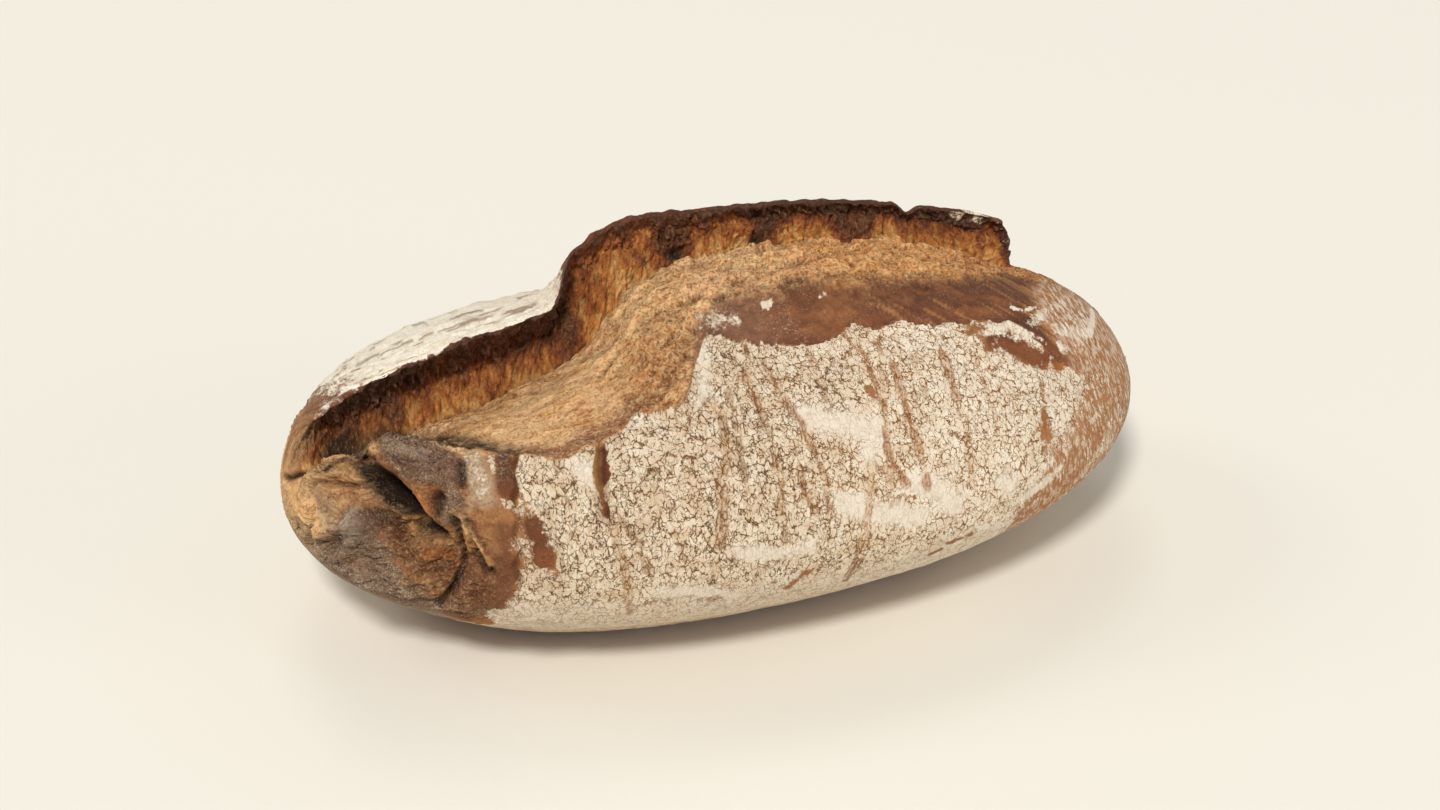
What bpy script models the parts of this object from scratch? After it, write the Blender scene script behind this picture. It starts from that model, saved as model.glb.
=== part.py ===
"""Large floured sourdough loaf with one long slash and a raised ear.

Metres, +Z up. X runs along the loaf, -Y is the floured front flank that carries the
crackle, and the loaf rests on a flat foot at z = 0. One closed body, made ring by ring:
each ring is a cross-section that goes under the loaf, up the front flank, over the
bloomed dough, down into the slash, up the torn face of the ear, over its lip and down
the back.
"""
import bpy
import numpy as np

# Whole loaf
LENGTH = 0.296
FRONT_WIDTH = 0.0815
BACK_WIDTH = 0.070
CORE_HEIGHT = 0.049
CROWN = 0.050
FOOT_RISE = 0.006
EDGE_RISE = 0.017
LOWER_POWER, UPPER_POWER = 1.93, 1.95
LEFT_NARROWING = 0.30
LEFT_CROWN_GAIN = 0.25
LEFT_END_POWERS = (3.1, 0.503)
RIGHT_END_POWERS = (2.27, 0.46)

# The slash and what stands beside it, as (position along the loaf, value) knots
SLASH_Y = ((-.148, -.010), (-.126, -.005), (-.082, .002), (-.034, .013), (.005, .024),
           (.055, .031), (.094, .034), (.120, .028))
SLASH_Z = ((-.148, .062), (-.136, .066), (-.082, .072), (-.040, .082), (-.026, .094),
           (-.010, .098), (.024, .096), (.069, .086), (.106, .073), (.120, .068))
CREST_Z = ((-.148, .063), (-.136, .068), (-.082, .0745), (-.040, .085), (-.026, .101),
           (-.013, .1045), (.024, .1015), (.069, .0915), (.106, .0785), (.120, .0715))
LIP_Y = ((-.148, -.006), (-.125, -.0045), (-.085, -.001), (-.055, .0047), (-.043, .016),
         (-.009, .024), (.042, .034), (.092, .0405), (.110, .036), (.120, .030))
LIP_Z = ((-.148, .068), (-.137, .084), (-.117, .0925), (-.079, .1015), (-.055, .103),
         (-.043, .1165), (-.022, .1215), (.017, .115), (.059, .1055), (.092, .0955),
         (.103, .0930), (.111, .0885), (.120, .0810))
RIM_Y = ((-.148, -.010), (-.113, -.0275), (-.082, -.046), (-.066, -.050), (-.030, -.042),
         (.010, -.030), (.092, -.024), (.120, -.012))
BLOOM_SWELL = ((-.148, .0), (-.080, .001), (.000, .006), (.060, .005), (.120, .002))
SLASH_SPAN = (-.1470, -.134, .111, .121)
CREST_SETBACK = 0.005
CREST_START = (-.140, -.100)

# The ear
EAR_START = (-.056, -.036)
EAR_THICKNESS = 0.0035
EAR_FOOT = 0.0035
EAR_TOP_SLOPE = 0.0008
FACE_HOLLOW_LOW, FACE_HOLLOW_HIGH = 0.38, 0.28
SHELL_REACH = 0.026
SHELL_HALFWAY, STANDING_SHARE = 0.42, 0.62
TIP_LEAN = 0.0045
TIP_SPAN = (.100, .117)
STANDING_HEIGHT = 0.020
NOTCH_X, NOTCH_DEPTH, NOTCH_WIDTH = 0.0845, 0.0032, 0.0035
LIP_RAGGEDNESS = 0.0005
TORN_DEPTH = 0.0011

# Folds and cracks: (position along the loaf, degrees up the flank) path, height, half width
FOLDS = (
    # pointed floured ridge and the valley to its left
    (((-.1265, 26), (-.1294, 13), (-.1330, 0), (-.1300, -16)), .0045, .0048),
    (((-.1290, 33), (-.1360, 8), (-.1400, -10)), -.0035, .0042),
    # deep hole, the knob over it and the lobe beside it
    (((-.1255, 43), (-.1200, 34), (-.1165, 27)), -.0095, .0058),
    (((-.1150, 48), (-.1030, 45)), .0040, .0068),
    (((-.1060, 35), (-.1020, 29)), .0045, .0055),
    # hollow under the lobe, curled flap and the fold line under it
    (((-.1180, 14), (-.1060, 12), (-.1080, 2)), -.0070, .0065),
    (((-.0990, 28), (-.0965, 19), (-.0930, 6)), .0028, .0038),
    (((-.1019, 17), (-.1020, 6), (-.1070, -14)), -.0035, .0040),
    # crease round the left end
    (((-.1268, 53), (-.1375, 47), (-.1409, 39), (-.1432, 2), (-.1432, -22)), -.0022, .0028),
    # long crack and the wide crack further right
    (((-.0826, 46), (-.0845, 34), (-.0872, 3)), -.0025, .0032),
    (((-.0567, 46), (-.0571, 38), (-.0600, 24)), -.0030, .0036),
)
ARC_PER_DEGREE = 0.0011

# How near the section's edge the rim, the slash and the ear's root may come, as a share
RIM_LIMIT, SLASH_LIMIT, ROOT_LIMIT = 0.90, 0.80, 0.93
LEAST_BLOOM_ANGLE, LEAST_SHELL_ANGLE, LIP_ANGLE_SHARE = 0.15, 0.30, 0.35

# Mesh
STATIONS = 90
FLANK_POINTS, BLOOM_POINTS, FACE_POINTS, SHELL_POINTS, BACK_POINTS = 27, 9, 6, 6, 15
POLE_SPACING_SHARE = 0.7
LEFT_CROWDING = 1.22
UNDERSIDE_SHARE = 0.27
UNDERSIDE_ANGLE = -25.0

CRUST_COLOUR = (0.50, 0.33, 0.19, 1.0)
CRUST_ROUGHNESS = 0.85


def smoothstep(edge0, edge1, x):
    t = np.clip((x - edge0) / (edge1 - edge0), 0, 1)
    return t * t * (3 - 2 * t)


def curve(knots, x):
    """Smooth curve through (x, value) knots that never overshoots them."""
    xs, ys = np.array(knots, float).T
    gap = np.diff(xs)
    slope = np.diff(ys) / gap
    tangent = np.zeros(len(xs))
    same = slope[:-1] * slope[1:] > 0
    tangent[1:-1][same] = 2 * slope[:-1][same] * slope[1:][same] / (slope[:-1] + slope[1:])[same]
    tangent[0], tangent[-1] = slope[0], slope[-1]
    x = np.clip(x, xs[0], xs[-1])
    i = np.clip(np.searchsorted(xs, x) - 1, 0, len(xs) - 2)
    t = (x - xs[i]) / gap[i]
    start = (1 + 2 * t) * (1 - t) ** 2 * ys[i] + t * (1 - t) ** 2 * gap[i] * tangent[i]
    end = t * t * (3 - 2 * t) * ys[i + 1] - t * t * (1 - t) * gap[i] * tangent[i + 1]
    return start + end


def envelope(u):
    """Share of the full section left at u, from -1 at the left end to 1 at the right end."""
    a, b = LEFT_END_POWERS
    left = np.maximum(1 - np.abs(u) ** a, 0) ** b
    a, b = RIGHT_END_POWERS
    right = np.maximum(1 - np.abs(u) ** a, 0) ** b
    return np.where(u < 0, left, right)


def half_sizes(u, front):
    """Half width, height over the core line and depth under it."""
    w = envelope(u)
    left = np.clip(-u, 0, 1) ** 2
    half = np.where(front, FRONT_WIDTH * (1 - LEFT_NARROWING * left), BACK_WIDTH) * w
    return half, CROWN * w * (1 + LEFT_CROWN_GAIN * left), CORE_HEIGHT * w


def press_flat(z):
    """The underside, flattened by the oven floor."""
    stretch = EDGE_RISE / (EDGE_RISE - FOOT_RISE)
    return np.where(z < EDGE_RISE, np.maximum(z - FOOT_RISE, 0) * stretch, z)


def plain_section(u, psi):
    """Section before the slash: psi is -90 degrees underneath, 0 at the front, 90 on top."""
    c, s = np.cos(psi), np.sin(psi)
    half, up, down = half_sizes(u, c > 0)
    power = np.where(s > 0, UPPER_POWER, LOWER_POWER)
    y = -half * np.sign(c) * np.abs(c) ** (2 / power)
    z = CORE_HEIGHT + np.where(s > 0, up, down) * np.sign(s) * np.abs(s) ** (2 / power)
    return np.stack([y, press_flat(z)], -1)


def across(u, y):
    half, _, _ = half_sizes(u, y < 0)
    return np.clip(np.abs(y) / half, 0, 1)


def top_height(u, y):
    """Height of the plain loaf's top over y."""
    _, up, _ = half_sizes(u, y < 0)
    return CORE_HEIGHT + up * (1 - across(u, y) ** UPPER_POWER) ** (1 / UPPER_POWER)


def top_angle(u, y):
    """Section angle of the plain loaf's top over y."""
    c = across(u, y) ** (UPPER_POWER / 2) * np.where(y < 0, 1, -1)
    return np.arccos(np.clip(c, -1, 1))


def section_curve(points, count):
    """Rounded curve through section points (rows), count samples without the last."""
    t = np.linspace(0, len(points) - 1, count, endpoint=False)
    p = np.concatenate([2 * points[:1] - points[1:2], points, 2 * points[-1:] - points[-2:-1]])
    i = np.floor(t).astype(int)
    f = (t - i)[:, None, None]
    a, b, c, d = p[i], p[i + 1], p[i + 2], p[i + 3]
    bend = (2 * a - 5 * b + 4 * c - d) * f ** 2 + (3 * b - a - 3 * c + d) * f ** 3
    return 0.5 * (2 * b + (c - a) * f + bend)


def arc(u, psi_start, psi_end, shares):
    psi = psi_start + (psi_end - psi_start) * shares[:, None]
    return plain_section(np.broadcast_to(u, psi.shape), psi), psi


def station_positions():
    """Ring positions from -1 to 1, closer together at both ends and over the left third."""
    t = np.arange(1, STATIONS + 1) / (STATIONS + 1)
    t = t ** LEFT_CROWDING
    return -POLE_SPACING_SHARE * np.cos(np.pi * t) + (1 - POLE_SPACING_SHARE) * (2 * t - 1)


def flank_shares(psi_rim):
    """Point spacing from underneath to the rim: few under the loaf, most up the flank."""
    t = np.arange(FLANK_POINTS) / FLANK_POINTS
    down = np.minimum(t / UNDERSIDE_SHARE, 1)
    up = np.maximum(t - UNDERSIDE_SHARE, 0) / (1 - UNDERSIDE_SHARE)
    start, bend = np.radians(-90), np.radians(UNDERSIDE_ANGLE)
    return start + (bend - start) * down[:, None] + (psi_rim - bend) * up[:, None]


def lip_height(x):
    """The torn upper edge: rising shell on the left, tall ear with a notch on the right."""
    notch = NOTCH_DEPTH * np.exp(-((x - NOTCH_X) / NOTCH_WIDTH) ** 2)
    ragged = np.sin(x * 610 + 1.1) + 0.8 * np.sin(x * 983 + 0.3) + 0.6 * np.sin(x * 1490 + 2.0)
    return curve(LIP_Z, x) - notch + LIP_RAGGEDNESS * ragged


def bloom_rows(x, y_rim, z_rim, y_slash, z_slash):
    """Bloomed dough from the flour rim over its crest into the slash."""
    z_crest = curve(CREST_Z, x)
    y_mid = (y_rim + y_slash) / 2
    z_mid = (z_rim + z_crest) / 2 + curve(BLOOM_SWELL, x)
    setback = CREST_SETBACK * (0.3 + 0.7 * smoothstep(*CREST_START, x))
    y = np.stack([y_rim, y_mid, y_slash - setback, y_slash])
    return np.stack([y, np.stack([z_rim, z_mid, z_crest, z_slash])], -1)


def face_rows(y_slash, z_slash, y_lip, z_lip):
    """Torn face from the slash up to the lip, a little hollow."""
    rise = z_lip - z_slash
    y = np.stack([y_slash, y_slash + EAR_FOOT, y_lip + 0.7 * EAR_FOOT, y_lip])
    z = np.stack([z_slash, z_slash + FACE_HOLLOW_LOW * rise, z_lip - FACE_HOLLOW_HIGH * rise, z_lip])
    return np.stack([y, z], -1)


def shell_rows(x, u, y_lip, z_lip, y_root, z_root):
    """From the lip back to the shell: lying on the loaf at the left, standing up at the ear."""
    stand = smoothstep(*EAR_START, x)
    over = z_lip - top_height(u, y_lip)

    def lying(back):
        return top_height(u, y_lip + back) + over * (1 - back / SHELL_REACH)

    near = (1 - stand) * lying(EAR_THICKNESS) + stand * (z_lip - EAR_TOP_SLOPE)
    halfway = SHELL_HALFWAY * SHELL_REACH
    standing = z_root + STANDING_SHARE * (z_lip - z_root)
    z_half = (1 - stand) * lying(halfway) + stand * standing
    y = np.stack([y_lip, y_lip + EAR_THICKNESS, y_lip + halfway, y_root])
    return np.stack([y, np.stack([z_lip, near, z_half, z_root])], -1)


def path_distance(x, height, path):
    """Distance on the unrolled flank from a path of (x, height) points."""
    best = np.full(np.broadcast(x, height).shape, np.inf)
    for (x0, h0), (x1, h1) in zip(path[:-1], path[1:]):
        run, climb = x1 - x0, h1 - h0
        t = np.clip(((x - x0) * run + (height - h0) * climb) / (run * run + climb * climb), 0, 1)
        best = np.minimum(best, np.hypot(x - x0 - t * run, height - h0 - t * climb))
    return best


def fold_relief(x, u, psi):
    """Height of the folds and cracks over the plain flank."""
    arc_scale = ARC_PER_DEGREE * envelope(u)
    relief = np.zeros(psi.shape)
    for path, height, width in FOLDS:
        middle = np.mean([p[0] for p in path])
        local = ARC_PER_DEGREE * envelope(np.array(middle / (LENGTH / 2)))
        flat_path = [(p[0], p[1] * local) for p in path]
        d = path_distance(x[None, :], np.degrees(psi) * arc_scale[None, :], flat_path)
        relief += height * np.exp(-(d / width) ** 2)
    return relief


def torn_relief(x, rows):
    """Flakes of the torn face, strongest halfway between slash and lip."""
    t = (np.arange(rows) / rows)[:, None]
    flakes = np.sin(x * 870 + 5 * t) + 0.8 * np.sin(x * 530 - 4 * t + 1.7) + 0.6 * np.sin(9 * t + x * 240)
    return TORN_DEPTH * flakes * np.sin(np.pi * t)


def outward(grid):
    """Unit normals of a (ring, point, 3) grid closed in the second direction."""
    along = np.gradient(grid, axis=0)
    around = np.roll(grid, -1, axis=1) - np.roll(grid, 1, axis=1)
    normal = np.cross(around, along)
    normal /= np.linalg.norm(normal, axis=-1, keepdims=True)
    middle = grid.mean(axis=1, keepdims=True)
    return normal * np.sign((normal * (grid - middle)).sum())


def loaf_rings():
    """(STATIONS, points, 3) rings of the finished loaf."""
    u = station_positions()
    x = u * LENGTH / 2
    w = envelope(u)
    y_rim = np.clip(curve(RIM_Y, x), -RIM_LIMIT * FRONT_WIDTH * w, RIM_LIMIT * BACK_WIDTH * w)
    y_slash, y_lip = curve(SLASH_Y, x), curve(LIP_Y, x)
    y_root = np.clip(y_lip + SHELL_REACH, 0, ROOT_LIMIT * BACK_WIDTH * w)
    psi_rim, psi_root = top_angle(u, y_rim), top_angle(u, y_root)
    on_top = np.clip(y_slash, -SLASH_LIMIT * FRONT_WIDTH * w, SLASH_LIMIT * BACK_WIDTH * w)
    psi_slash = np.clip(top_angle(u, on_top), psi_rim + LEAST_BLOOM_ANGLE, psi_root - LEAST_SHELL_ANGLE)
    psi_lip = psi_slash + LIP_ANGLE_SHARE * (psi_root - psi_slash)

    def share(count):
        return np.arange(count) / count

    psi_flank = flank_shares(psi_rim)
    flank = plain_section(np.broadcast_to(u, psi_flank.shape), psi_flank)
    bloom, psi_bloom = arc(u, psi_rim, psi_slash, share(BLOOM_POINTS))
    face, _ = arc(u, psi_slash, psi_lip, share(FACE_POINTS))
    shell, _ = arc(u, psi_lip, psi_root, share(SHELL_POINTS))
    back, _ = arc(u, psi_root, np.full_like(u, np.radians(270)), share(BACK_POINTS))

    z_slash, z_lip = curve(SLASH_Z, x), lip_height(x)
    z_rim, z_root = top_height(u, y_rim), top_height(u, y_root)
    start, full, fade, end = SLASH_SPAN
    opened = (smoothstep(start, full, x) * (1 - smoothstep(fade, end, x)))[None, :, None]
    bloom += opened * (section_curve(bloom_rows(x, y_rim, z_rim, y_slash, z_slash), BLOOM_POINTS) - bloom)
    face += opened * (section_curve(face_rows(y_slash, z_slash, y_lip, z_lip), FACE_POINTS) - face)
    shell_target = section_curve(shell_rows(x, u, y_lip, z_lip, y_root, z_root), SHELL_POINTS)
    shell += opened * (shell_target - shell)

    section = np.concatenate([flank, bloom, face, shell, back])
    along = np.broadcast_to(x[None, :, None], section.shape[:2] + (1,))
    grid = np.concatenate([along, section], -1).transpose(1, 0, 2)

    relief = np.zeros(grid.shape[:2])
    front = FLANK_POINTS + BLOOM_POINTS
    fade_out = np.concatenate([np.ones(FLANK_POINTS), 1 - share(BLOOM_POINTS) ** 2])
    relief[:, :front] = (fold_relief(x, u, np.concatenate([psi_flank, psi_bloom])) * fade_out[:, None]).T
    relief[:, front:front + FACE_POINTS] = torn_relief(x, FACE_POINTS).T * opened[0]
    grid = grid + outward(grid) * relief[:, :, None]
    return lean_tip(grid, z_slash)


def lean_tip(grid, z_slash):
    """The ear's free right end reaches out past its root."""
    x = grid[:, :, 0]
    standing = np.clip((grid[:, :, 2] - z_slash[:, None]) / STANDING_HEIGHT, 0, 1)
    ear = np.zeros(grid.shape[1])
    first = FLANK_POINTS + BLOOM_POINTS
    ear[first:first + FACE_POINTS + SHELL_POINTS] = 1
    grid[:, :, 0] = x + TIP_LEAN * smoothstep(*TIP_SPAN, x) * standing * ear
    return grid


def stand_on_base(points):
    """Centre the box over the origin, with the foot exactly at z = 0."""
    low, high = points.min(axis=0), points.max(axis=0)
    return points - np.array([(low[0] + high[0]) / 2, (low[1] + high[1]) / 2, low[2]])


def loaf_faces(rings, around):
    """Quads between neighbouring rings and a fan at each end."""
    faces = []
    for i in range(rings - 1):
        for j in range(around):
            k = (j + 1) % around
            faces.append((i * around + j, (i + 1) * around + j, (i + 1) * around + k, i * around + k))
    left, right = rings * around, rings * around + 1
    last = (rings - 1) * around
    for j in range(around):
        k = (j + 1) % around
        faces.append((left, j, k))
        faces.append((right, last + k, last + j))
    return faces


def crust_material():
    material = bpy.data.materials.new("crust")
    material.use_nodes = True
    shader = material.node_tree.nodes["Principled BSDF"]
    shader.inputs["Base Color"].default_value = CRUST_COLOUR
    shader.inputs["Roughness"].default_value = CRUST_ROUGHNESS
    shader.inputs["Metallic"].default_value = 0.0
    return material


def make_loaf():
    grid = loaf_rings()
    rings, around, _ = grid.shape
    ends = np.array([[-LENGTH / 2, 0, CORE_HEIGHT], [LENGTH / 2, 0, CORE_HEIGHT]])
    points = stand_on_base(np.concatenate([grid.reshape(-1, 3), ends]))
    mesh = bpy.data.meshes.new("loaf")
    mesh.from_pydata(points.tolist(), [], loaf_faces(rings, around))
    mesh.materials.append(crust_material())
    mesh.update()
    loaf = bpy.data.objects.new("loaf", mesh)
    bpy.context.scene.collection.objects.link(loaf)
    return loaf


for old in list(bpy.data.objects):
    bpy.data.objects.remove(old, do_unlink=True)
make_loaf()
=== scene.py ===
import math

import bpy
import numpy as np
from mathutils import Matrix, Vector


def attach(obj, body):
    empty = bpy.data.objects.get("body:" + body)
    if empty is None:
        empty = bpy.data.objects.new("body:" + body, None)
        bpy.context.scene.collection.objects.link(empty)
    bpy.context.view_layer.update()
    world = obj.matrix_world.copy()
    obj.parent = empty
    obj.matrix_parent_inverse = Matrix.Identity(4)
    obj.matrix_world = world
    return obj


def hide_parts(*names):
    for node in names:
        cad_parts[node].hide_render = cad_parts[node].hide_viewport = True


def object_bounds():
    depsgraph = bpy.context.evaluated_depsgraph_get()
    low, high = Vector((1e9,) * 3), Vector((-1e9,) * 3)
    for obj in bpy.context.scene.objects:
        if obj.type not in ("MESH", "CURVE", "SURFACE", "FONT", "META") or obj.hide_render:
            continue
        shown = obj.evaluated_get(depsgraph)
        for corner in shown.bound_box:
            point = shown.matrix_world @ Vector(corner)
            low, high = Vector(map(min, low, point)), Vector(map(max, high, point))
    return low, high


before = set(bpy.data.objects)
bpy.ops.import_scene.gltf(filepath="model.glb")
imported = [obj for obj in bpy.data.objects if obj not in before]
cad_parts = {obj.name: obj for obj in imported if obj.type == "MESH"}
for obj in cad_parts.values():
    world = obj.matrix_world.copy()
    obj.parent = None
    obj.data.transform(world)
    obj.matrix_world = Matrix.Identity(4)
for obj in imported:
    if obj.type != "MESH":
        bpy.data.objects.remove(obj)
CAD_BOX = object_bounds()

# Whole loaf, as the CAD has it
LENGTH = 0.296
FRONT_WIDTH = 0.0815
BACK_WIDTH = 0.070
CORE_HEIGHT = 0.049
CROWN = 0.050
FOOT_RISE = 0.006
EDGE_RISE = 0.017
LOWER_POWER, UPPER_POWER = 1.93, 1.95
LEFT_NARROWING = 0.30
LEFT_CROWN_GAIN = 0.25
LEFT_END_POWERS = (3.1, 0.503)
RIGHT_END_POWERS = (2.27, 0.46)
SHIFT_Y = 0.00575

SLASH_Y = ((-.148, -.010), (-.126, -.005), (-.082, .002), (-.034, .013), (.005, .024),
           (.055, .031), (.094, .034), (.120, .028))
SLASH_Z = ((-.148, .062), (-.136, .066), (-.082, .072), (-.040, .082), (-.026, .094),
           (-.010, .098), (.024, .096), (.069, .086), (.106, .073), (.120, .068))
CREST_Z = ((-.148, .063), (-.136, .068), (-.082, .0745), (-.040, .085), (-.026, .101),
           (-.013, .1045), (.024, .1015), (.069, .0915), (.106, .0785), (.120, .0715))
LIP_Y = ((-.148, -.006), (-.125, -.0045), (-.085, -.001), (-.055, .0047), (-.043, .016),
         (-.009, .024), (.042, .034), (.092, .0405), (.110, .036), (.120, .030))
LIP_Z = ((-.148, .068), (-.137, .084), (-.117, .0925), (-.079, .1015), (-.055, .103),
         (-.043, .1165), (-.022, .1215), (.017, .115), (.059, .1055), (.092, .0955),
         (.103, .0930), (.111, .0885), (.120, .0810))
RIM_Y = ((-.148, -.010), (-.113, -.0275), (-.082, -.046), (-.066, -.050), (-.030, -.042),
         (.010, -.030), (.092, -.024), (.120, -.012))
BLOOM_SWELL = ((-.148, .0), (-.080, .001), (.000, .006), (.060, .005), (.120, .002))
SLASH_SPAN = (-.1470, -.134, .111, .121)
CREST_SETBACK = 0.005
CREST_START = (-.140, -.100)
EAR_START = (-.056, -.036)
EAR_THICKNESS = 0.0035
EAR_FOOT = 0.0035
SHELL_REACH = 0.026
TIP_LEAN = 0.0085
TIP_SPAN = (.100, .117)
TIP_TUCK = 0.0025
NOTCH_X, NOTCH_DEPTH, NOTCH_WIDTH = 0.0845, 0.0032, 0.0035
FACE_HOLLOW = ((-.148, .002), (-.110, .0045), (-.060, .0050), (-.030, .0015), (.120, .0005))

# Mesh: rings along the loaf, columns in each stretch of a ring, and how both are spaced
STATIONS = 760
COUNTS = {"flank": 214, "bloom": 66, "face": 50, "shell": 30, "back": 32}
PIECES = 4
POLE_SPACING_SHARE = 0.45
LEFT_CROWDING = 1.12
UNDERSIDE_SHARE = 0.09
UNDERSIDE_ANGLE = -52.0
ARC_PER_DEGREE = 0.0011

# Upper edge of the floured skin and of the brown band, as (x in mm, section angle in degrees)
FLOUR_EDGE = ((-148, 56), (-128, 56), (-116, 51.5), (-104, 50.5), (-94, 47), (-80, 46.5), (-68.4, 44),
              (-61, 46), (-51, 49), (-46, 51), (-41, 55), (-27, 55.5), (-21, 61), (-13.7, 68),
              (-9.6, 70.4), (1.3, 70), (19, 68), (29, 67.7), (36, 70.4), (41, 71.2), (49, 69.4),
              (57, 71.2), (66, 68.2), (73, 69.7), (79, 67.4), (83, 69), (91, 68), (96, 68),
              (99.6, 64), (103.4, 59), (106, 55), (109, 49), (118, 42), (148, 42))
BAND_EDGE = ((-30, 57), (-19, 63.6), (-16.6, 68.4), (-10.6, 72.8), (-5, 75.6), (-1, 78.6), (9, 80.2),
             (19, 80.5), (36, 82.4), (53, 82.5), (76, 83.5), (102, 89), (112, 96), (148, 104))

# Paths that more than one table uses, as (x in mm, section angle in degrees)
RIGHT_FOOT = ((147, 70), (146, 30), (134, -16), (114, -36), (92, -48))
LOW_STRIP = ((83.5, -3.2), (91, 0.5), (99.2, 4.5))
RIGHT_STREAK = ((98.5, 41.6), (95.8, 28.6), (93, 17.1))
PALE_RIM = ((82.6, 68.9), (90.5, 67.1), (95.4, 66.9), (99.3, 63.3), (103, 58.1), (106.2, 53.4))
PALE_BAR = ((113, 70), (121, 67), (130, 63))
SKIN_STREAK = ((-85.2, 46), (-86.2, 40.9), (-87, 35))
# Relief: path, height and half width in mm
FOLDS = (
    (((-124.3, 57.6), (-127.6, 51), (-131, 49), (-135.6, 46), (-139.4, 42), (-141.2, 33), (-142.5, 16),
      (-143.4, -6), (-143.2, -25)), -2.4, 0.9),
    (((-137, 37), (-132, 31)), 2.8, 6.0),
    (((-139, 18), (-135, 15)), 1.2, 3.4),
    (((-127.7, 27.5), (-129.8, 21), (-132.9, 10), (-135, -1.5)), 2.0, 2.4),
    (((-130.5, 25), (-134.5, 11), (-138, -4)), -2.8, 2.4),
    (((-124.8, 25), (-122.6, 14), (-120, 3)), -3.8, 3.0),
    (((-133, -12), (-126, -22), (-120, -20)), 1.8, 4.0),
    (((-141, 2), (-138, -14), (-132, -26)), 1.4, 4.0),
    (((-124.5, 45), (-121.5, 38), (-118, 31), (-114.5, 25), (-112.3, 19.5)), -8.0, 3.6),
    (((-120.5, 37), (-113.5, 23)), -7.0, 3.6),
    (((-125.5, 47.5), (-121.5, 50)), 2.2, 2.0),
    (((-116.8, 49.4), (-110, 50.4), (-103.8, 48)), 3.2, 5.4),
    (((-114.5, 43), (-109.9, 44.6), (-101.5, 43.1)), 3.0, 4.2),
    (((-112.5, 38), (-108.5, 39.4), (-102.5, 39)), 2.4, 3.2),
    (((-117.5, 46), (-111, 46.6), (-104.5, 47.4)), -1.1, 0.8),
    (((-113.5, 41), (-107, 41.8), (-101, 41)), -1.0, 0.8),
    (((-110.6, 33.5), (-109.6, 29.6), (-107.5, 25.6)), 3.6, 2.2),
    (((-106, 35), (-106.8, 29.4), (-107.0, 23.6)), -2.8, 0.9),
    (((-102.7, 34.1), (-103, 29.6), (-104.3, 25)), 2.2, 2.2),
    (((-98.1, 45), (-98.5, 40.1), (-98.9, 37)), -2.6, 1.0),
    (((-93.8, 45), (-93.8, 39), (-94.2, 32.4), (-95.8, 26)), 1.3, 3.6),
    (((-81.3, 46.4), (-83.8, 41.5), (-83.2, 37), (-85.8, 31), (-84.8, 25.4), (-87, 19.6), (-85.6, 14),
      (-87.9, 7.3), (-86.4, 0.6)), -1.7, 0.9),
    (((-99.9, 24.5), (-99.3, 18), (-97.8, 11.6)), -2.2, 0.7),
    (((-99.3, 11.8), (-97.3, 8), (-95, 4.6)), -2.2, 1.3),
    (((-103.2, 25.6), (-103.6, 19), (-104, 12.6), (-104, 5.6), (-104.4, -1.2), (-105.8, -8.2),
      (-108, -15.7), (-109.4, -22.7)), -4.4, 1.4),
    (((-119, 16.5), (-112, 15.5), (-107.5, 11), (-108, 3)), -6.4, 5.4),
    (((-113.5, -6), (-110, -12)), 1.6, 3.4),
    (((-122, -8), (-118, -18)), 1.4, 4.0),
    (((-89.5, 20), (-90, 10), (-90.5, -2)), 1.1, 3.0),
    (((-97, 0), (-95, -12)), 1.4, 4.0),
    (((-80, 22), (-79, 9)), 0.8, 4.0),
    (((-76, 33.4), (-75.6, 22.8), (-73.8, 9)), -1.2, 0.7),
    (((-54.7, 46.6), (-56.7, 39.9), (-57.6, 33.9), (-58.4, 29.1), (-57.6, 24.4)), -3.2, 1.7),
    (((-52, 46.5), (-53.6, 38)), 0.9, 2.0),
    (((-61, 46), (-61, 36)), 0.8, 3.0),
    (((-90, -8), (-84, -22)), 1.2, 6.0),
    (((-104, -20), (-96, -34)), 1.0, 5.0),
    (((79, 67.4), (82.6, 68.7), (90.5, 66.9), (95.4, 66.7), (99.3, 63.1), (103, 57.9), (105.6, 54.1)),
     0.7, 0.8),
    (((86, 64.2), (92, 61), (97, 55), (102, 49.6), (108, 45.6)), -0.9, 3.0),
)
# Sharp crests of torn dough: path, height and reach in mm
CRESTS = (
    (((-127.7, 28.5), (-129.8, 20), (-132.9, 9), (-135, -1.5)), 4.6, 4.0),
    (((-127.0, 30), (-128.4, 25.5), (-130, 20)), 4.0, 3.0),
    (((-127.7, 28.5), (-133.5, 19), (-140, 7)), 3.0, 3.4),
    (((-127.7, 28.5), (-124.6, 17), (-121.5, 7), (-118, -3)), 3.2, 3.6),
    (((-123, 57), (-129, 54.5), (-135, 49)), 1.8, 2.6),
    (((-125, 47), (-122.4, 49.5), (-118, 49)), 2.2, 2.6),
    (((-102.6, 27.5), (-101.0, 22), (-100.4, 17)), 1.5, 1.1),
    (((-101.0, 27), (-99.4, 20), (-97.0, 14), (-94.8, 8)), 1.9, 1.1),
    (((-112, 33), (-108.6, 27.5), (-106, 25)), 1.6, 2.4),
)
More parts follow.
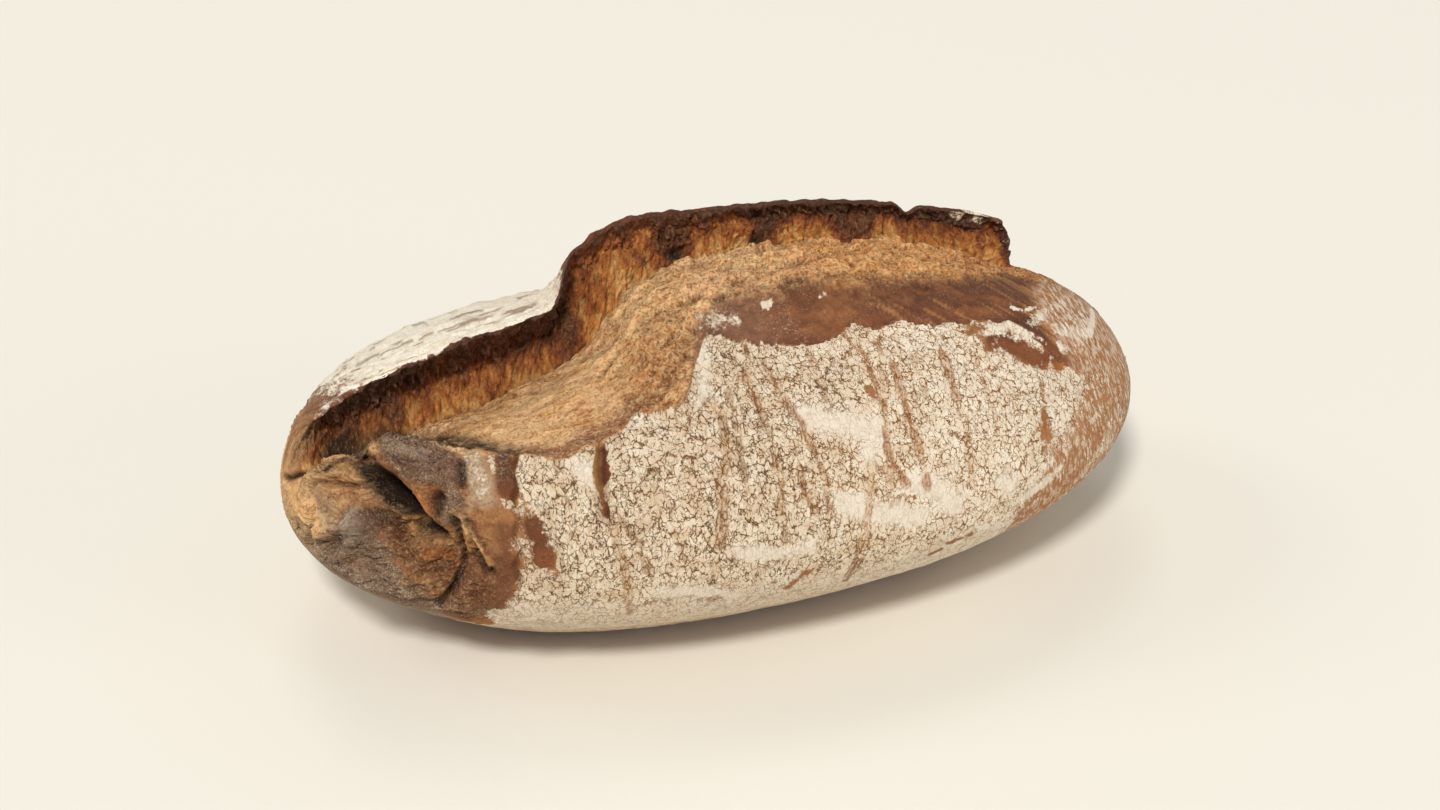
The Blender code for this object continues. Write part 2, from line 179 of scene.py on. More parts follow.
# Streaks down the flank: path, strength, half width of the washed strip in mm
STREAKS = (
    (((-57.1, 22), (-56.2, 13.8), (-54.7, 3.6), (-52.8, -19.5)), 0.55, 1.5),
    (((-55.2, 28.4), (-52.8, 20.6), (-49.4, 14.6), (-48, 4.3)), 0.7, 0.9),
    (((-70.2, 43), (-69.6, 36), (-68.4, 30)), 0.35, 0.7),
    (((-38.5, 30), (-37.6, 18), (-36.2, 8)), 0.45, 0.8),
    (((-17.3, 55.4), (-14.2, 52.1), (-15.2, 41.9), (-19.3, 34.6), (-20.9, 29.4), (-24.4, 11.8)), 1.0, 1.9),
    (((-9.6, 58), (-12.1, 37.4), (-13.7, 23.3)), 0.7, 1.1),
    (((1.3, 68.7), (-1.8, 59.9), (-0.8, 48.9), (-0.3, 41.6), (-1.3, 31.9), (-3.4, 8)), 1.0, 1.4),
    (((5.4, 66.2), (7, 56.9), (8, 51.4), (10.1, 47.1), (11.6, 37.6), (13.7, 28), (13.2, 14)), 0.9, 1.1),
    (((5.9, 32.6), (5.9, 23.3), (8.5, 16.6)), 0.7, 0.8),
    (((22, 66), (21.4, 58), (21, 51)), 0.5, 0.7),
    (((35.6, 70.2), (39.6, 61.6), (39.6, 53.9), (39.1, 43.6), (36.1, 31.9), (40.6, 20)), 0.95, 1.2),
    (((45.5, 61.9), (40.1, 47.4), (36.6, 33.1), (33.6, 14.3)), 0.6, 1.2),
    (((47.5, 58), (46.5, 39.1), (47, 30.9), (47.5, 16.8)), 0.9, 1.3),
    (((66.1, 60), (65.6, 46.4), (66.1, 35.4), (63.3, 13.3)), 1.0, 1.4),
    (((56, 57), (55, 45)), 0.4, 0.9),
    (((78, 58), (77, 42), (76, 30)), 0.35, 0.9),
    (RIGHT_STREAK, 0.5, 1.2),
    (((30, 29), (25.5, 11.6), (21.9, -9), (19.3, -20)), 1.0, 1.5),
    (((-53, -15), (-44.5, -10.7), (-40, -3.4)), 0.6, 0.8),
)
# Thick flour without crackle: path and half width in mm
SMOOTH = (
    (((12.6, 47.6), (22.9, 42.6), (34.1, 39.1), (30.5, 31.9)), 4.2),
    (((43.5, 19.8), (51.9, 15.1), (56.7, 7.6)), 5.0),
    (((18, 19), (30, 12), (43, 8)), 4.6),
    (((-18, 8), (-6, 5), (6, 5)), 3.6),
    (LOW_STRIP, 2.2),
    (PALE_RIM, 0.8),
    (PALE_BAR, 4.0),
    (((74.7, 11.6), (78.2, 8.1)), 3.0),
    (((-63.5, 43), (-61, 38)), 2.6),
    (((-42, -6), (-30, -8), (-20, -14)), 3.4),
    (((-93.8, 45), (-93.8, 34)), 3.8),
    (((-13.2, 67.2), (-16.2, 61.1), (-20.4, 55.4)), 2.0),
)

LINE_HALF_WIDTH = 0.33
# Folds left of this x, in mm, are deepened by the gain
LEFT_END_X, LEFT_END_GAIN = -92, 1.3

# Crack where the shell meets the left lobe, as points in mm in the loaf's own frame
RIM_CRACK = (
    (-147.8, 5, 57.5), (-146.2, -0.5, 60.2), (-143.5, -7.6, 65.7), (-140.6, -13.1, 70.2),
    (-136.8, -16.2, 71.7), (-132.6, -18.1, 74.5), (-129.3, -20.3, 77.4), (-123.8, -21.6, 79.5),
)

# Short cracks in the bloom: path, height and half width in mm
BLOOM_CRACKS = (
    (((-45.5, 67.7), (-41.6, 70.7), (-37.6, 73.4)), -1.6, 0.8),
    (((-45, 80.4), (-40.1, 79.4), (-35.6, 77.9)), -1.3, 0.7),
    (((-58.6, 74.4), (-47.5, 77.7), (-33.6, 83)), -1.0, 1.2),
)
# Torn face: levels at which one tone gives way to the next, and stretches that are paler or darker
FACE_RAMP = (
    (-0.16, "pale gold"), (0.02, "gold"), (0.2, "orange"), (0.4, "ember"), (0.66, "dark brown"),
    (1.0, "burnt"),
)
FACE_TONE_SHIFTS = (
    (-140, -58, 0.1), (-40, -16, -0.3), (2, 24, -0.34), (34, 54, -0.16), (72, 114, -0.26), (-12, -1, 0.24),
    (26, 34, 0.28), (56, 70, 0.16), (-54, -43, 0.34),
)
# Holes in the face: x in mm, share of its height, half width in mm, half height as a share
FACE_HOLES = ((25.5, 0.20, 3.0, 0.14), (-4.5, 0.22, 3.6, 0.09), (-129.0, 0.10, 7.0, 0.20))

# Colours, as the eye sees them in daylight
TONES = {
    "tan": (234, 190, 134), "pink tan": (232, 182, 132), "toasted": (216, 152, 86), "gold": (206, 140, 70),
    "ember": (136, 72, 36), "pale gold": (226, 174, 106), "light tan": (212, 172, 118),
    "orange": (174, 104, 48), "brown": (140, 88, 52), "dark brown": (104, 60, 36),
    "red brown": (132, 78, 46), "purple brown": (132, 91, 68), "burnt": (82, 50, 35),
    # The shadow tone and the two tones after it are painted shade, for holes, cracks and creases
    "shadow": (64, 40, 24), "cavity shade": (44, 27, 16), "crease shade": (76, 53, 33), "sienna": (176, 122, 78),
    "grey": (134, 104, 82), "dust": (180, 154, 124), "dim tan": (184, 142, 96), "fibre": (170, 124, 74),
    "dim": (146, 108, 72), "crust": (158, 108, 66), "low brown": (112, 70, 42),
    "pale grey": (196, 176, 156), "crumb brown": (182, 124, 72),
}
# Paint on the flank, in order: tone, path, half width and softness in mm, strength
PAINT = (
    ("dim tan", ((-146, 40), (-130, 30), (-122, 20)), 14.0, 4.0, 1.0),
    ("dust", ((-149, 20), (-146, -20), (-136, -46), (-118, -56)), 16.0, 5.0, 0.7),
    ("tan", ((-145.5, 40), (-146, 20), (-145.4, 0)), 3.0, 2.0, 0.8),
    ("crust", ((-139, 37), (-132.5, 32)), 6.0, 3.0, 0.25),
    ("tan", ((-144, 34), (-146.5, 14), (-146.5, -6)), 5.0, 2.0, 0.9),
    ("crust", ((-134, 40), (-129, 36)), 3.4, 3.0, 0.6),
    ("grey", ((-138, -6), (-130, -22), (-118, -24)), 8.0, 4.0, 0.85),
    ("crust", ((-122, 12), (-116, 0), (-110, -8)), 7.0, 3.0, 0.9),
    ("fibre", ((-121, 17), (-112, 17), (-105, 15)), 3.6, 2.0, 0.8),
    ("low brown", ((-118, 8), (-111, 6), (-106, 8)), 3.6, 2.6, 0.7),
    ("low brown", ((-114, 3), (-108, 0), (-106, -6)), 5.0, 2.5, 0.85),
    ("orange", ((-112, 6), (-106.5, 3)), 2.4, 2.0, 0.7),
    ("dim", ((-121, 20.5), (-113, 21.5), (-107, 20)), 2.0, 1.4, 0.8),
    ("grey", ((-127.7, 27), (-130.5, 18), (-134, 6), (-137, -10)), 3.6, 1.6, 0.95),
    ("grey", ((-130, 14), (-127, 2), (-124, -12)), 4.6, 2.4, 0.85),
    # The sharp ridge at the left end: pale grey along its crest is dust colour with a painted highlight, and
    # the dark brown line right of the crest is painted shade
    ("pale grey", ((-127.4, 29), (-128.8, 23), (-131, 14)), 1.4, 1.0, 0.85),
    ("pale grey", ((-127.7, 27), (-125.6, 20), (-123.4, 12)), 0.7, 0.9, 0.6),
    ("low brown", ((-124.6, 20), (-122.6, 11), (-119, 3)), 2.0, 1.6, 0.85),
    ("dark brown", ((-125.8, 27), (-124.4, 20), (-121.8, 11)), 1.5, 1.0, 0.9),
    ("dark brown", ((-129.6, 24), (-132.6, 14), (-135.4, 4)), 0.7, 0.9, 0.6),
    ("red brown", ((-125, 48), (-122, 45)), 3.0, 1.8, 0.9),
    # The hole at the left end: dark brown crust, with painted cavity shade deeper in
    ("dark brown", ((-124.6, 45), (-121.5, 38), (-118, 31), (-114.5, 25), (-112.6, 20)), 4.0, 1.8, 0.9),
    ("cavity shade", ((-124.2, 41.5), (-122.4, 36), (-119.6, 30.6), (-116, 25), (-113.6, 21)), 4.6, 1.8, 1.0),
    ("fibre", ((-119.5, 21.5), (-114, 19.5)), 1.0, 1.0, 0.7),
    ("purple brown", ((-115, 49), (-109, 49.5), (-102, 47)), 5.4, 1.6, 0.95),
    ("purple brown", ((-113.5, 43), (-108, 43.5), (-101, 43)), 4.4, 1.6, 0.95),
    ("pale grey", ((-113.5, 50), (-108.5, 50.5)), 1.6, 1.6, 0.6),
    ("low brown", ((-112, -2), (-107, -12)), 5.0, 3.0, 0.6),
    ("sienna", ((-101, 2), (-99, -8), (-101, -18)), 2.2, 2.6, 0.5),
    ("sienna", ((-112, -16), (-106, -24)), 2.6, 2.6, 0.45),
    ("brown", ((-118, 48), (-117, 42)), 2.0, 1.6, 0.8),
    ("crust", ((-111.5, 36), (-110.8, 31), (-109.8, 26)), 2.2, 1.2, 0.9),
    ("orange", ((-110.8, 33), (-109.8, 29)), 1.4, 1.2, 0.7),
    ("dark brown", ((-106.8, 35), (-107.2, 29.4), (-107.2, 24)), 1.3, 1.0, 0.9),
    ("purple brown", ((-102.9, 35), (-103, 29.6), (-104.3, 25)), 2.4, 1.4, 0.9),
    ("dust", ((-93.8, 45), (-93.2, 39), (-94.8, 30)), 3.6, 2.2, 0.9),
    ("crust", ((-96, 28), (-90, 26)), 2.6, 2.4, 0.6),
    ("dark brown", ((-98.1, 44.6), (-98.5, 40.1)), 1.0, 0.8, 0.9),
    ("dark brown", SKIN_STREAK, 2.4, 1.2, 0.95),
    ("crust", ((-93, 24), (-92, 12)), 5.0, 2.4, 0.95),
    ("low brown", ((-92, 8), (-93, 0), (-96, -10)), 5.6, 2.4, 0.9),
    ("dark brown", ((-89.5, 22), (-89.8, 12), (-90.5, 2)), 2.4, 1.8, 0.75),
    ("low brown", ((-100, 4), (-98, -10), (-104, -26)), 7.0, 3.0, 0.9),
    ("grey", ((-104, -20), (-98, -20), (-92, -24)), 3.6, 2.4, 0.7),
    ("grey", ((-143, -6), (-138, -26), (-126, -34), (-112, -40)), 6.0, 4.0, 0.55),
    ("fibre", ((-102.0, 27), (-100.0, 20), (-97.4, 14), (-95.2, 9)), 1.5, 0.8, 0.9),
    ("light tan", ((-101.4, 26), (-99.6, 20), (-97.2, 14)), 0.7, 0.7, 0.85),
    ("dark brown", ((-99.2, 25), (-97.4, 19), (-95.2, 13)), 0.5, 0.6, 0.8),
    ("shadow", ((-103.2, 25.6), (-103.7, 16), (-104, 5.6), (-105, -5), (-108.4, -17)), 1.0, 0.8, 0.85),
    ("shadow", ((-99, 11), (-97, 7.4), (-95.4, 5)), 1.1, 0.8, 0.8),
    ("dark brown", ((-80.2, 23.4), (-79.8, 16.6), (-78.9, 10.5)), 3.4, 1.6, 0.95),
    ("red brown", ((-79.3, 13), (-78.6, 10)), 2.4, 1.6, 0.7),
    ("dark brown", ((-81.5, 46), (-83.6, 41), (-83.4, 37), (-85.6, 31)), 0.6, 0.6, 0.7),
    ("fibre", ((-56.4, 45.4), (-57.8, 40), (-58.7, 35)), 1.2, 0.9, 0.8),
    ("dark brown", ((-53.9, 46.8), (-55.6, 39.9), (-56.6, 33.9), (-57.6, 27), (-57.2, 23)), 0.9, 0.7, 0.95),
    ("crust", ((79.5, 65.6), (83, 64.4), (86, 64.8)), 2.6, 1.6, 0.85),
    ("red brown", ((88, 64), (95, 59), (101, 51.5), (108, 46.6)), 3.6, 1.4, 0.95),
    ("dark brown", ((86.5, 65.3), (92, 63.2), (96, 59)), 1.6, 1.4, 0.8),
    ("orange", ((104, 47.6), (109, 45)), 2.6, 1.6, 0.7),
    ("sienna", ((126, 74), (131, 52), (126, 28), (112, 10), (98, -6)), 16.0, 4.0, 0.9),
    ("sienna", RIGHT_FOOT, 14.0, 5.0, 0.8),
    ("sienna", ((94.5, 24), (97, 16), (100, 9)), 4.0, 2.6, 0.5),
)
# Flour taken away or laid on: path, half width and softness in mm, amount
FLOUR_CHANGES = (
    (((-152, 50), (-140, 20), (-134, -10), (-126, -40), (-112, -60)), 20.0, 4.0, -1.0),
    (((-122, 48), (-112, 24), (-110, 4), (-112, -12)), 12.0, 3.0, -1.0),
    (((-112, 44), (-102, 44)), 8.0, 2.0, -1.0),
    (((-94, 47), (-93.8, 32)), 4.6, 1.6, -0.92),
    (((-103, 30), (-101, 12), (-101, -8), (-104, -30)), 7.0, 2.4, -1.0),
    (SKIN_STREAK, 2.8, 1.0, -1.0),
    (((-93, 24), (-91, 12), (-92, 0), (-96, -12)), 5.6, 4.4, -0.92),
    (((-89, 27), (-88, 22)), 2.6, 2.4, -0.8),
    (((-81.4, 23), (-80.2, 16.6), (-79.4, 10)), 3.2, 4.4, -0.92),
    (((-77, 12), (-76, 4)), 2.0, 3.6, -0.5),
    (((-82, 32), (-81, 24)), 2.0, 3.4, -0.5),
    (((-81.4, 47), (-83.8, 40), (-84.8, 31)), 0.9, 1.0, -0.8),
    (((-55, 47.4), (-56.6, 41), (-57.6, 37)), 1.9, 0.9, -1.0),
    (((-57.2, 39.5), (-58.4, 33), (-57.8, 25)), 1.1, 0.8, -1.0),
    (((-127.5, 28.5), (-129.2, 22.5), (-131.4, 15)), 0.7, 0.8, 0.8),
    (((86, 64.6), (92, 61.4), (97, 55), (102, 50), (109, 46)), 3.4, 3.0, -0.95),
    (((79, 65.4), (84, 64.6)), 2.6, 2.6, -0.8),
    (((140, 60), (131, 40), (127, 28), (114, 12), (100, -6), (88, -22)), 11.0, 7.0, -0.66),
    (RIGHT_FOOT, 12.0, 5.0, -0.6),
    (((94.5, 26), (97, 16), (100, 7)), 2.6, 3.6, -0.75),
    (LOW_STRIP, 1.7, 1.2, 0.9),
    (RIGHT_STREAK, 1.6, 1.4, -0.5),
    (((110.5, -4), (101, -11), (92, -15)), 2.6, 1.6, -0.8),
    (((36.6, 51.8), (37.2, 49)), 1.3, 1.0, -0.7),
    (((46, 66), (45.4, 63)), 1.6, 1.4, -0.6),
    (((42.5, 15.2), (42.6, 14.4)), 0.9, 0.5, -0.9),
    (((50, -17), (53, -16)), 1.6, 1.2, -0.9),
    (((55, -13), (64, -12.5)), 1.8, 1.4, -0.7),
    (((-1, -15), (4, -7)), 1.8, 1.4, -0.7),
    (((-28, -13), (-24, -16)), 3.4, 2.4, -0.45),
    (PALE_RIM, 0.5, 1.0, 0.72),
    (((107, 77), (117, 76), (127, 73)), 3.0, 3.0, 0.6),
    (PALE_BAR, 4.0, 3.4, 0.62),
    (((114, 60), (123, 56)), 4.0, 2.4, 0.65),
    (((108, 66), (112, 60), (117, 53)), 1.2, 1.0, -0.7),
    (((101, 76.8), (106.3, 73.7), (110.5, 72.4)), 1.1, 0.7, 1.0),
    (((129, 70.5), (137, 74)), 1.4, 0.8, 1.0),
    (((-10.6, 73.7), (-4.4, 74.6), (2.3, 74.2)), 2.2, 1.8, 0.55),
    (((13, 77), (16, 77.6)), 0.7, 1.0, 0.8),
    (((33, 78.4), (35.4, 78.7)), 0.5, 0.9, 0.8),
)
# Grey dust full of small dark pits: path and half width in mm
DUSTY = (
    (((-115, 49), (-109, 50), (-102, 47)), 5.0),
    (((-112, 43), (-102, 43)), 4.0),
    (((-102.9, 35), (-104.3, 25)), 2.4),
    (((-127.7, 27.4), (-130, 19), (-133.5, 8), (-137, -10)), 3.0),
    (((-139, -12), (-128, -26), (-114, -34)), 6.0),
    (((-130, 12), (-127, 0), (-124, -12)), 4.0),
    (((-144, 0), (-141, -20)), 4.0),
    (((-145, -14), (-141, -28), (-131, -46), (-114, -56)), 7.0),
    (((-124, -6), (-116, -14)), 5.0),
    (((-85.2, 46), (-86.2, 40.9)), 2.0),
)

# What the material reads at each grid point
FIELDS = ("flour", "smooth", "wash", "line", "dusty", "burn", "crumb", "face", "band", "dash", "under",
          "shellside")

# Floor and soft studio light: name, direction, distance, diameter, and share of full daylight
FLOOR_COLOUR = (239, 233, 220)
FLOOR_HALF = 6.0
SKY_COLOUR = (0.92, 0.965, 1.0, 1)
AMBIENT = 0.35
LAMP_COLOUR = (1, 0.99, 0.965)
LAMP_AIM = (0, 0, 0.05)
LAMPS = (
    ("key", (-0.30, -0.54, 0.79), 12.0, 2.0, 0.69),
    ("side", (0.75, -0.58, 0.30), 12.0, 6.0, 0.14),
    ("rear", (0.05, 0.50, 0.86), 12.0, 5.0, 0.11),
    ("left rear", (-0.66, 0.42, 0.62), 12.0, 5.0, 0.12),
)

# Camera fitted to the photograph
AZIMUTH, ELEVATION = math.radians(-18.4), math.radians(33.4)
DISTANCE = 1.100
TARGET = Vector((-0.0021, SHIFT_Y, 0.052))
FOCAL_PX = 3250
AIM_PX = (708, 421)
IMAGE = (1440, 810)


def ease(edge0, edge1, x):
    """0 up to edge0 and 1 from edge1 on, smooth between them."""
    t = np.clip((x - edge0) / (edge1 - edge0), 0, 1)
    return t * t * (3 - 2 * t)


def curve(knots, x):
    """Smooth curve through (x, value) knots that never overshoots them."""
    xs, ys = np.array(knots, float).T
    gap = np.diff(xs)
    slope = np.diff(ys) / gap
    tangent = np.zeros(len(xs))
    same = slope[:-1] * slope[1:] > 0
    tangent[1:-1][same] = 2 * slope[:-1][same] * slope[1:][same] / (slope[:-1] + slope[1:])[same]
    tangent[0], tangent[-1] = slope[0], slope[-1]
    x = np.clip(x, xs[0], xs[-1])
    i = np.clip(np.searchsorted(xs, x) - 1, 0, len(xs) - 2)
    t = (x - xs[i]) / gap[i]
    start = (1 + 2 * t) * (1 - t) ** 2 * ys[i] + t * (1 - t) ** 2 * gap[i] * tangent[i]
    end = t * t * (3 - 2 * t) * ys[i + 1] - t * t * (1 - t) * gap[i] * tangent[i + 1]
    return start + end


GRAIN = np.random.default_rng(11).random((64, 64, 64))


def noise(x, y, z, seed=0):
    """Smooth repeatable noise from -1 to 1 with about one bump per unit."""
    low = [np.floor(v).astype(np.int64) for v in (x, y, z)]
    fx, fy, fz = (v - c for v, c in zip((x, y, z), low))
    fx, fy, fz = (f * f * (3 - 2 * f) for f in (fx, fy, fz))
    ix, iy, iz = (c + seed * prime for c, prime in zip(low, (7, 13, 29)))
    total = 0.0
    for dx in (0, 1):
        for dy in (0, 1):
            for dz in (0, 1):
                weight = (fx if dx else 1 - fx) * (fy if dy else 1 - fy) * (fz if dz else 1 - fz)
                total = total + weight * GRAIN[(ix + dx) & 63, (iy + dy) & 63, (iz + dz) & 63]
    return 2 * total - 1


def fbm(x, y, z, seed):
    """Three octaves of the noise."""
    total, size, norm = 0.0, 1.0, 0.0
    for k in range(3):
        total = total + size * noise(x * 2 ** k, y * 2 ** k, z * 2 ** k, seed + 17 * k)
        norm += size
        size *= 0.5
    return total / norm


def ridged(values, sharpness):
    """1 along the lines where the values pass through nought, 0 away from them."""
    return np.clip(1 - np.abs(values) * sharpness, 0, 1)


def envelope(u):
    """Share of the full section that is left at u, from -1 to 1 along the loaf."""
    left, right = (np.maximum(1 - np.abs(u) ** a, 0) ** b for a, b in (LEFT_END_POWERS, RIGHT_END_POWERS))
    return np.where(u < 0, left, right)


def half_sizes(u, front):
    w = envelope(u)
    left = np.clip(-u, 0, 1) ** 2
    half = np.where(front, FRONT_WIDTH * (1 - LEFT_NARROWING * left), BACK_WIDTH) * w
    return half, CROWN * w * (1 + LEFT_CROWN_GAIN * left), CORE_HEIGHT * w


def press_flat(z):
    stretch = EDGE_RISE / (EDGE_RISE - FOOT_RISE)
    return np.where(z < EDGE_RISE, np.maximum(z - FOOT_RISE, 0) * stretch, z)


def plain_section(u, psi):
    """Points (y, z) of the loaf without its slash, at section angle psi."""
    c, s = np.cos(psi), np.sin(psi)
    half, up, down = half_sizes(u, c > 0)
    power = np.where(s > 0, UPPER_POWER, LOWER_POWER)
    y = -half * np.sign(c) * np.abs(c) ** (2 / power)
    z = CORE_HEIGHT + np.where(s > 0, up, down) * np.sign(s) * np.abs(s) ** (2 / power)
    return np.stack([y, press_flat(z)], -1)


def across(u, y):
    half, _, _ = half_sizes(u, y < 0)
    return np.clip(np.abs(y) / half, 0, 1)


def top_height(u, y):
    _, up, _ = half_sizes(u, y < 0)
    return CORE_HEIGHT + up * (1 - across(u, y) ** UPPER_POWER) ** (1 / UPPER_POWER)


def top_angle(u, y):
    c = across(u, y) ** (UPPER_POWER / 2) * np.where(y < 0, 1, -1)
    return np.arccos(np.clip(c, -1, 1))


def section_curve(points, count):
    """Smooth curve through rows of points, the last one left out."""
    t = np.linspace(0, len(points) - 1, count, endpoint=False)
    p = np.concatenate([2 * points[:1] - points[1:2], points, 2 * points[-1:] - points[-2:-1]])
    i = np.floor(t).astype(int)
    f = (t - i)[:, None, None]
    a, b, c, d = p[i], p[i + 1], p[i + 2], p[i + 3]
    bend = (2 * a - 5 * b + 4 * c - d) * f ** 2 + (3 * b - a - 3 * c + d) * f ** 3
    return 0.5 * (2 * b + (c - a) * f + bend)


def arc(u, psi_start, psi_end, count):
    psi = psi_start + (psi_end - psi_start) * (np.arange(count) / count)[:, None]
    return plain_section(np.broadcast_to(u, psi.shape), psi), psi


def flank_angles(psi_rim, count):
    """Section angles up the flank, sparse where the underside hides."""
    t = np.arange(count) / count
    down = np.minimum(t / UNDERSIDE_SHARE, 1)
    up = np.maximum(t - UNDERSIDE_SHARE, 0) / (1 - UNDERSIDE_SHARE)
    start, bend = np.radians(-90), np.radians(UNDERSIDE_ANGLE)
    return start + (bend - start) * down[:, None] + (psi_rim - bend) * up[:, None]


def lip_height(x):
    notch = NOTCH_DEPTH * np.exp(-((x - NOTCH_X) / NOTCH_WIDTH) ** 2)
    ragged = 0.0005 * noise(x * 110, 0 * x, 0 * x, 3) + 0.0003 * noise(x * 380, 0 * x, 0 * x, 4)
    return curve(LIP_Z, x) - notch + ragged


def bloom_rows(x, y_rim, z_rim, y_slash, z_slash):
    z_crest = curve(CREST_Z, x)
    y_mid = (y_rim + y_slash) / 2
    z_mid = (z_rim + z_crest) / 2 + curve(BLOOM_SWELL, x)
    setback = CREST_SETBACK * (0.3 + 0.7 * ease(*CREST_START, x))
    y = np.stack([y_rim, y_mid, y_slash - setback, y_slash])
    return np.stack([y, np.stack([z_rim, z_mid, z_crest, z_slash])], -1)


def face_rows(x, y_slash, z_slash, y_lip, z_lip):
    rise = z_lip - z_slash
    hollow = curve(FACE_HOLLOW, x)
    y = np.stack([y_slash, y_slash + EAR_FOOT + hollow, y_lip + 0.7 * EAR_FOOT + hollow, y_lip])
    z = np.stack([z_slash, z_slash + 0.38 * rise, z_lip - 0.28 * rise, z_lip])
    return np.stack([y, z], -1)


def shell_rows(x, u, y_lip, z_lip, y_root, z_root):
    """Back of the ear: lying on the loaf at the left, standing free of it at the right."""
    stand = ease(*EAR_START, x)
    over = z_lip - top_height(u, y_lip)

    def lying(back):
        return top_height(u, y_lip + back) + over * (1 - back / SHELL_REACH)

    near = (1 - stand) * lying(EAR_THICKNESS) + stand * (z_lip - 0.0008)
    halfway = 0.42 * SHELL_REACH
    z_half = (1 - stand) * lying(halfway) + stand * (z_root + 0.62 * (z_lip - z_root))
    y = np.stack([y_lip, y_lip + EAR_THICKNESS, y_lip + halfway, y_root])
    return np.stack([y, np.stack([z_lip, near, z_half, z_root])], -1)


def grid_normals(grid):
    """Unit normals of a ring grid, pointing out of the loaf as a whole."""
    along = np.gradient(grid, axis=0)
    around = np.roll(grid, -1, axis=1) - np.roll(grid, 1, axis=1)
    normal = np.cross(around, along)
    normal /= np.linalg.norm(normal, axis=-1, keepdims=True) + 1e-12
    middle = grid.mean(axis=1, keepdims=True)
    return normal * np.sign((normal * (grid - middle)).sum())


def base_grid():
    """Smooth loaf with its slash: the ring grid, section angle and place in each stretch."""
    t = (np.arange(1, STATIONS + 1) / (STATIONS + 1)) ** LEFT_CROWDING
    u = -POLE_SPACING_SHARE * np.cos(np.pi * t) + (1 - POLE_SPACING_SHARE) * (2 * t - 1)
    x = u * LENGTH / 2
    w = envelope(u)
    y_rim = np.clip(curve(RIM_Y, x), -0.90 * FRONT_WIDTH * w, 0.90 * BACK_WIDTH * w)
    y_slash, y_lip = curve(SLASH_Y, x), curve(LIP_Y, x)
    y_root = np.clip(y_lip + SHELL_REACH, 0, 0.93 * BACK_WIDTH * w)
    psi_rim, psi_root = top_angle(u, y_rim), top_angle(u, y_root)
    on_top = np.clip(y_slash, -0.80 * FRONT_WIDTH * w, 0.80 * BACK_WIDTH * w)
    psi_slash = np.clip(top_angle(u, on_top), psi_rim + 0.15, psi_root - 0.30)
    psi_lip = psi_slash + 0.35 * (psi_root - psi_slash)

    psi_flank = flank_angles(psi_rim, COUNTS["flank"])
    flank = plain_section(np.broadcast_to(u, psi_flank.shape), psi_flank)
    bloom, psi_bloom = arc(u, psi_rim, psi_slash, COUNTS["bloom"])
    face, psi_face = arc(u, psi_slash, psi_lip, COUNTS["face"])
    shell, psi_shell = arc(u, psi_lip, psi_root, COUNTS["shell"])
    back, psi_back = arc(u, psi_root, np.full_like(u, np.radians(270)), COUNTS["back"])

    z_slash, z_lip = curve(SLASH_Z, x), lip_height(x)
    z_rim, z_root = top_height(u, y_rim), top_height(u, y_root)
    start, full, fade, end = SLASH_SPAN
    opened = ease(start, full, x) * (1 - ease(fade, end, x))
    o = opened[None, :, None]
    bloom += o * (section_curve(bloom_rows(x, y_rim, z_rim, y_slash, z_slash), COUNTS["bloom"]) - bloom)
    face += o * (section_curve(face_rows(x, y_slash, z_slash, y_lip, z_lip), COUNTS["face"]) - face)
    shell += o * (section_curve(shell_rows(x, u, y_lip, z_lip, y_root, z_root), COUNTS["shell"]) - shell)

    section = np.concatenate([flank, bloom, face, shell, back])
    psi = np.concatenate([psi_flank, psi_bloom, psi_face, psi_shell, psi_back]).T
    along = np.broadcast_to(x[None, :, None], section.shape[:2] + (1,))
    grid = np.concatenate([along, section], -1).transpose(1, 0, 2)
    return grid, np.degrees(psi), u, opened, z_slash


def soften(grid, first, last, passes):
    """Round the columns first to last across the section."""
    for _ in range(passes):
        middle = grid[:, first:last]
        grid[:, first:last] = middle * 0.5 + 0.25 * (grid[:, first - 1:last - 1] + grid[:, first + 1:last + 1])


def lean_tip(grid, z_slash, columns):
    """Push the ear's free end out over the loaf."""
    x = grid[:, :, 0]
    standing = np.clip((grid[:, :, 2] - z_slash[:, None]) / 0.020, 0, 1)
    lean = TIP_LEAN * np.sin(np.pi * standing * 0.62) - TIP_TUCK * (1 - standing)
    grid[:, :, 0] = x + lean * ease(*TIP_SPAN, x) * columns[None, :]


def path_distance(x, height, path):
    best = np.full(x.shape, np.inf)
    for (x0, h0), (x1, h1) in zip(path[:-1], path[1:]):
        run, climb = x1 - x0, h1 - h0
        t = np.clip(((x - x0) * run + (height - h0) * climb) / (run * run + climb * climb + 1e-9), 0, 1)
        best = np.minimum(best, np.hypot(x - x0 - t * run, height - h0 - t * climb))
    return best


